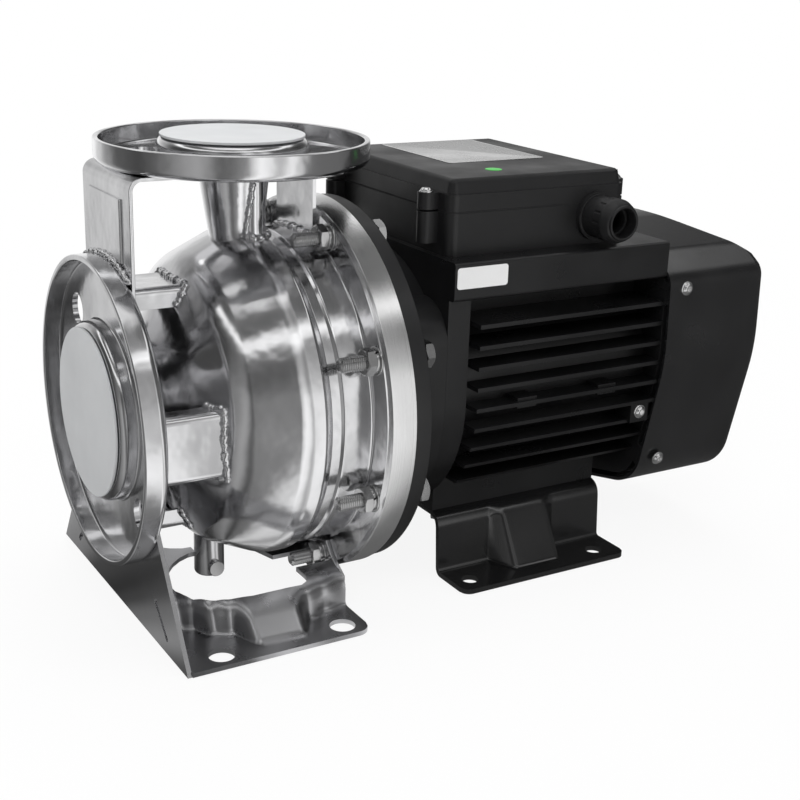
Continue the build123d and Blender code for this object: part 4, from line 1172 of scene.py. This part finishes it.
# Button screws with a hexagon socket, modelled once. Those on the cover have a y, a height and a lean.
buttons = {
    "rows": ((0, 0), (0, 4.15), (0.7, 4.15, 0.3), (0.8, 3.5), (1.3, 3.4, 0.3), (2.5, 2.3, 0.7), (2.5, 0)),
    "socketFlats": 2.8,
    "socketFloor": 1.0,
    "socketDepth": 4.0,
    "coverX": 259.5,
    "upper": (86.4, 165.5, 0.0),
    "lower": (75.4, 56.5, -9.85),
    "frame": (237.5, 80.0, 91.3),
    "lidX": (100.5, 228.0),
    "lidY": 52.0,
    "lidZ": 226.0,
    "lidScale": 0.92,
}


def makeButton(values):
    rows = values["rows"]
    button = turnSolid("buttonPattern", rows, Vector(), upward, across, steps=40, degreesPerStep=15)
    corner, depth = values["socketFlats"] / math.sqrt(3), values["socketDepth"]
    middle = (0, 0, (values["socketFloor"] + depth / 2) * mm)
    carve(button, startRod("socket", corner, depth, middle, sides=6))
    smooth(button, creases["turned"])
    return button


def listButtons(values):
    for side, sideName in ((-1, "Near"), (1, "Far")):
        for label in ("Upper", "Lower"):
            y, z, lean = values[label.lower()]
            tilt = Matrix.Rotation(math.radians(-side * (90 - lean)), 4, "X")
            yield f"coverScrew{label}{sideName}", "fan_cover_screws", (values["coverX"], side * y, z), tilt
        x, y, z = values["frame"]
        tilt = Matrix.Rotation(math.radians(-side * 90), 4, "X")
        yield "frameScrew" + sideName, "frame_side_screws", (x, side * y, z), tilt
        for x in values["lidX"]:
            spot = (x, side * values["lidY"], values["lidZ"])
            yield f"lidScrew{sideName}{round(x)}", "lid_screws", spot, Matrix.Scale(values["lidScale"], 4)


def placeButtons(values):
    pattern = makeButton(values)
    for name, node, spot, turn in listButtons(values):
        screw = copyShape(pattern, name)
        moveShape(screw, Matrix.Translation(Vector(spot) * mm) @ turn)
        hang(screw, node, "turned", hides=(node,))
    bpy.data.objects.remove(pattern)


placeButtons(buttons)
print("gland and screws set")

# Bare plates: a name plate and a dot on the lid, a label on the frame's side
plates = {
    "label": {
        "node": "side_label",
        "finish": "paper",
        "middle": (118.9, -82.12, 184.7),
        "size": (32.0, 0.24, 11.5),
        "axis": 1,
        "outer": -1,
        "corner": 1.6,
        "insets": ((0.1, 0),),
    },
    "lidPlate": {
        "node": "nameplate",
        "finish": "plate",
        "middle": (169.5, 21.0, 234.12),
        "size": (66.0, 78.0, 0.24),
        "axis": 2,
        "outer": 1,
        "corner": 2.5,
        "insets": ((1.4, 0), (0.3, -0.08)),
    },
}


def runsAlong(edge, axis):
    span = edge.verts[0].co - edge.verts[1].co
    return abs(span[axis]) > span.length / 2


def makePlate(name, values):
    axis = values["axis"]
    middle = Vector(values["middle"]) * mm
    plate = startShape(name, "cube", size=1, scale=Vector(values["size"]) * mm, location=middle)
    openEdit(plate, "EDGE")
    choose(plate, "edges", lambda edge: runsAlong(edge, axis))
    bpy.ops.mesh.bevel(offset=values["corner"] * mm, segments=6, affect="EDGES")
    bpy.ops.mesh.select_mode(type="FACE")
    choose(plate, "faces", lambda face: round(face.normal[axis]) == values["outer"])
    for thickness, depth in values["insets"]:
        bpy.ops.mesh.inset(thickness=thickness * mm, depth=depth * mm)
    closeEdit()
    smooth(plate, creases["plate"])
    hang(plate, values["node"], values["finish"], hides=(values["node"],))


for name, values in plates.items():
    makePlate(name, values)

dot = {
    "middle": (148.5, -44.0, 234.0),
    "radius": 4.7,
    "height": 0.15,
    "sunk": 0.3,
    "edge": 0.1,
}


def stickDot(values):
    low, high, radius = -values["sunk"], values["height"], values["radius"]
    rows = ((low, 0), (low, radius), (high, radius, values["edge"]), (high, 0))
    middle = Vector(values["middle"]) * mm
    sticker = turnSolid("greenDot", rows, middle, upward, across, steps=40, degreesPerStep=30)
    hang(sticker, "terminal_box_lid", "green")


stickDot(dot)
print("plates set")

bpy.context.scene.view_settings.view_transform = "Standard"
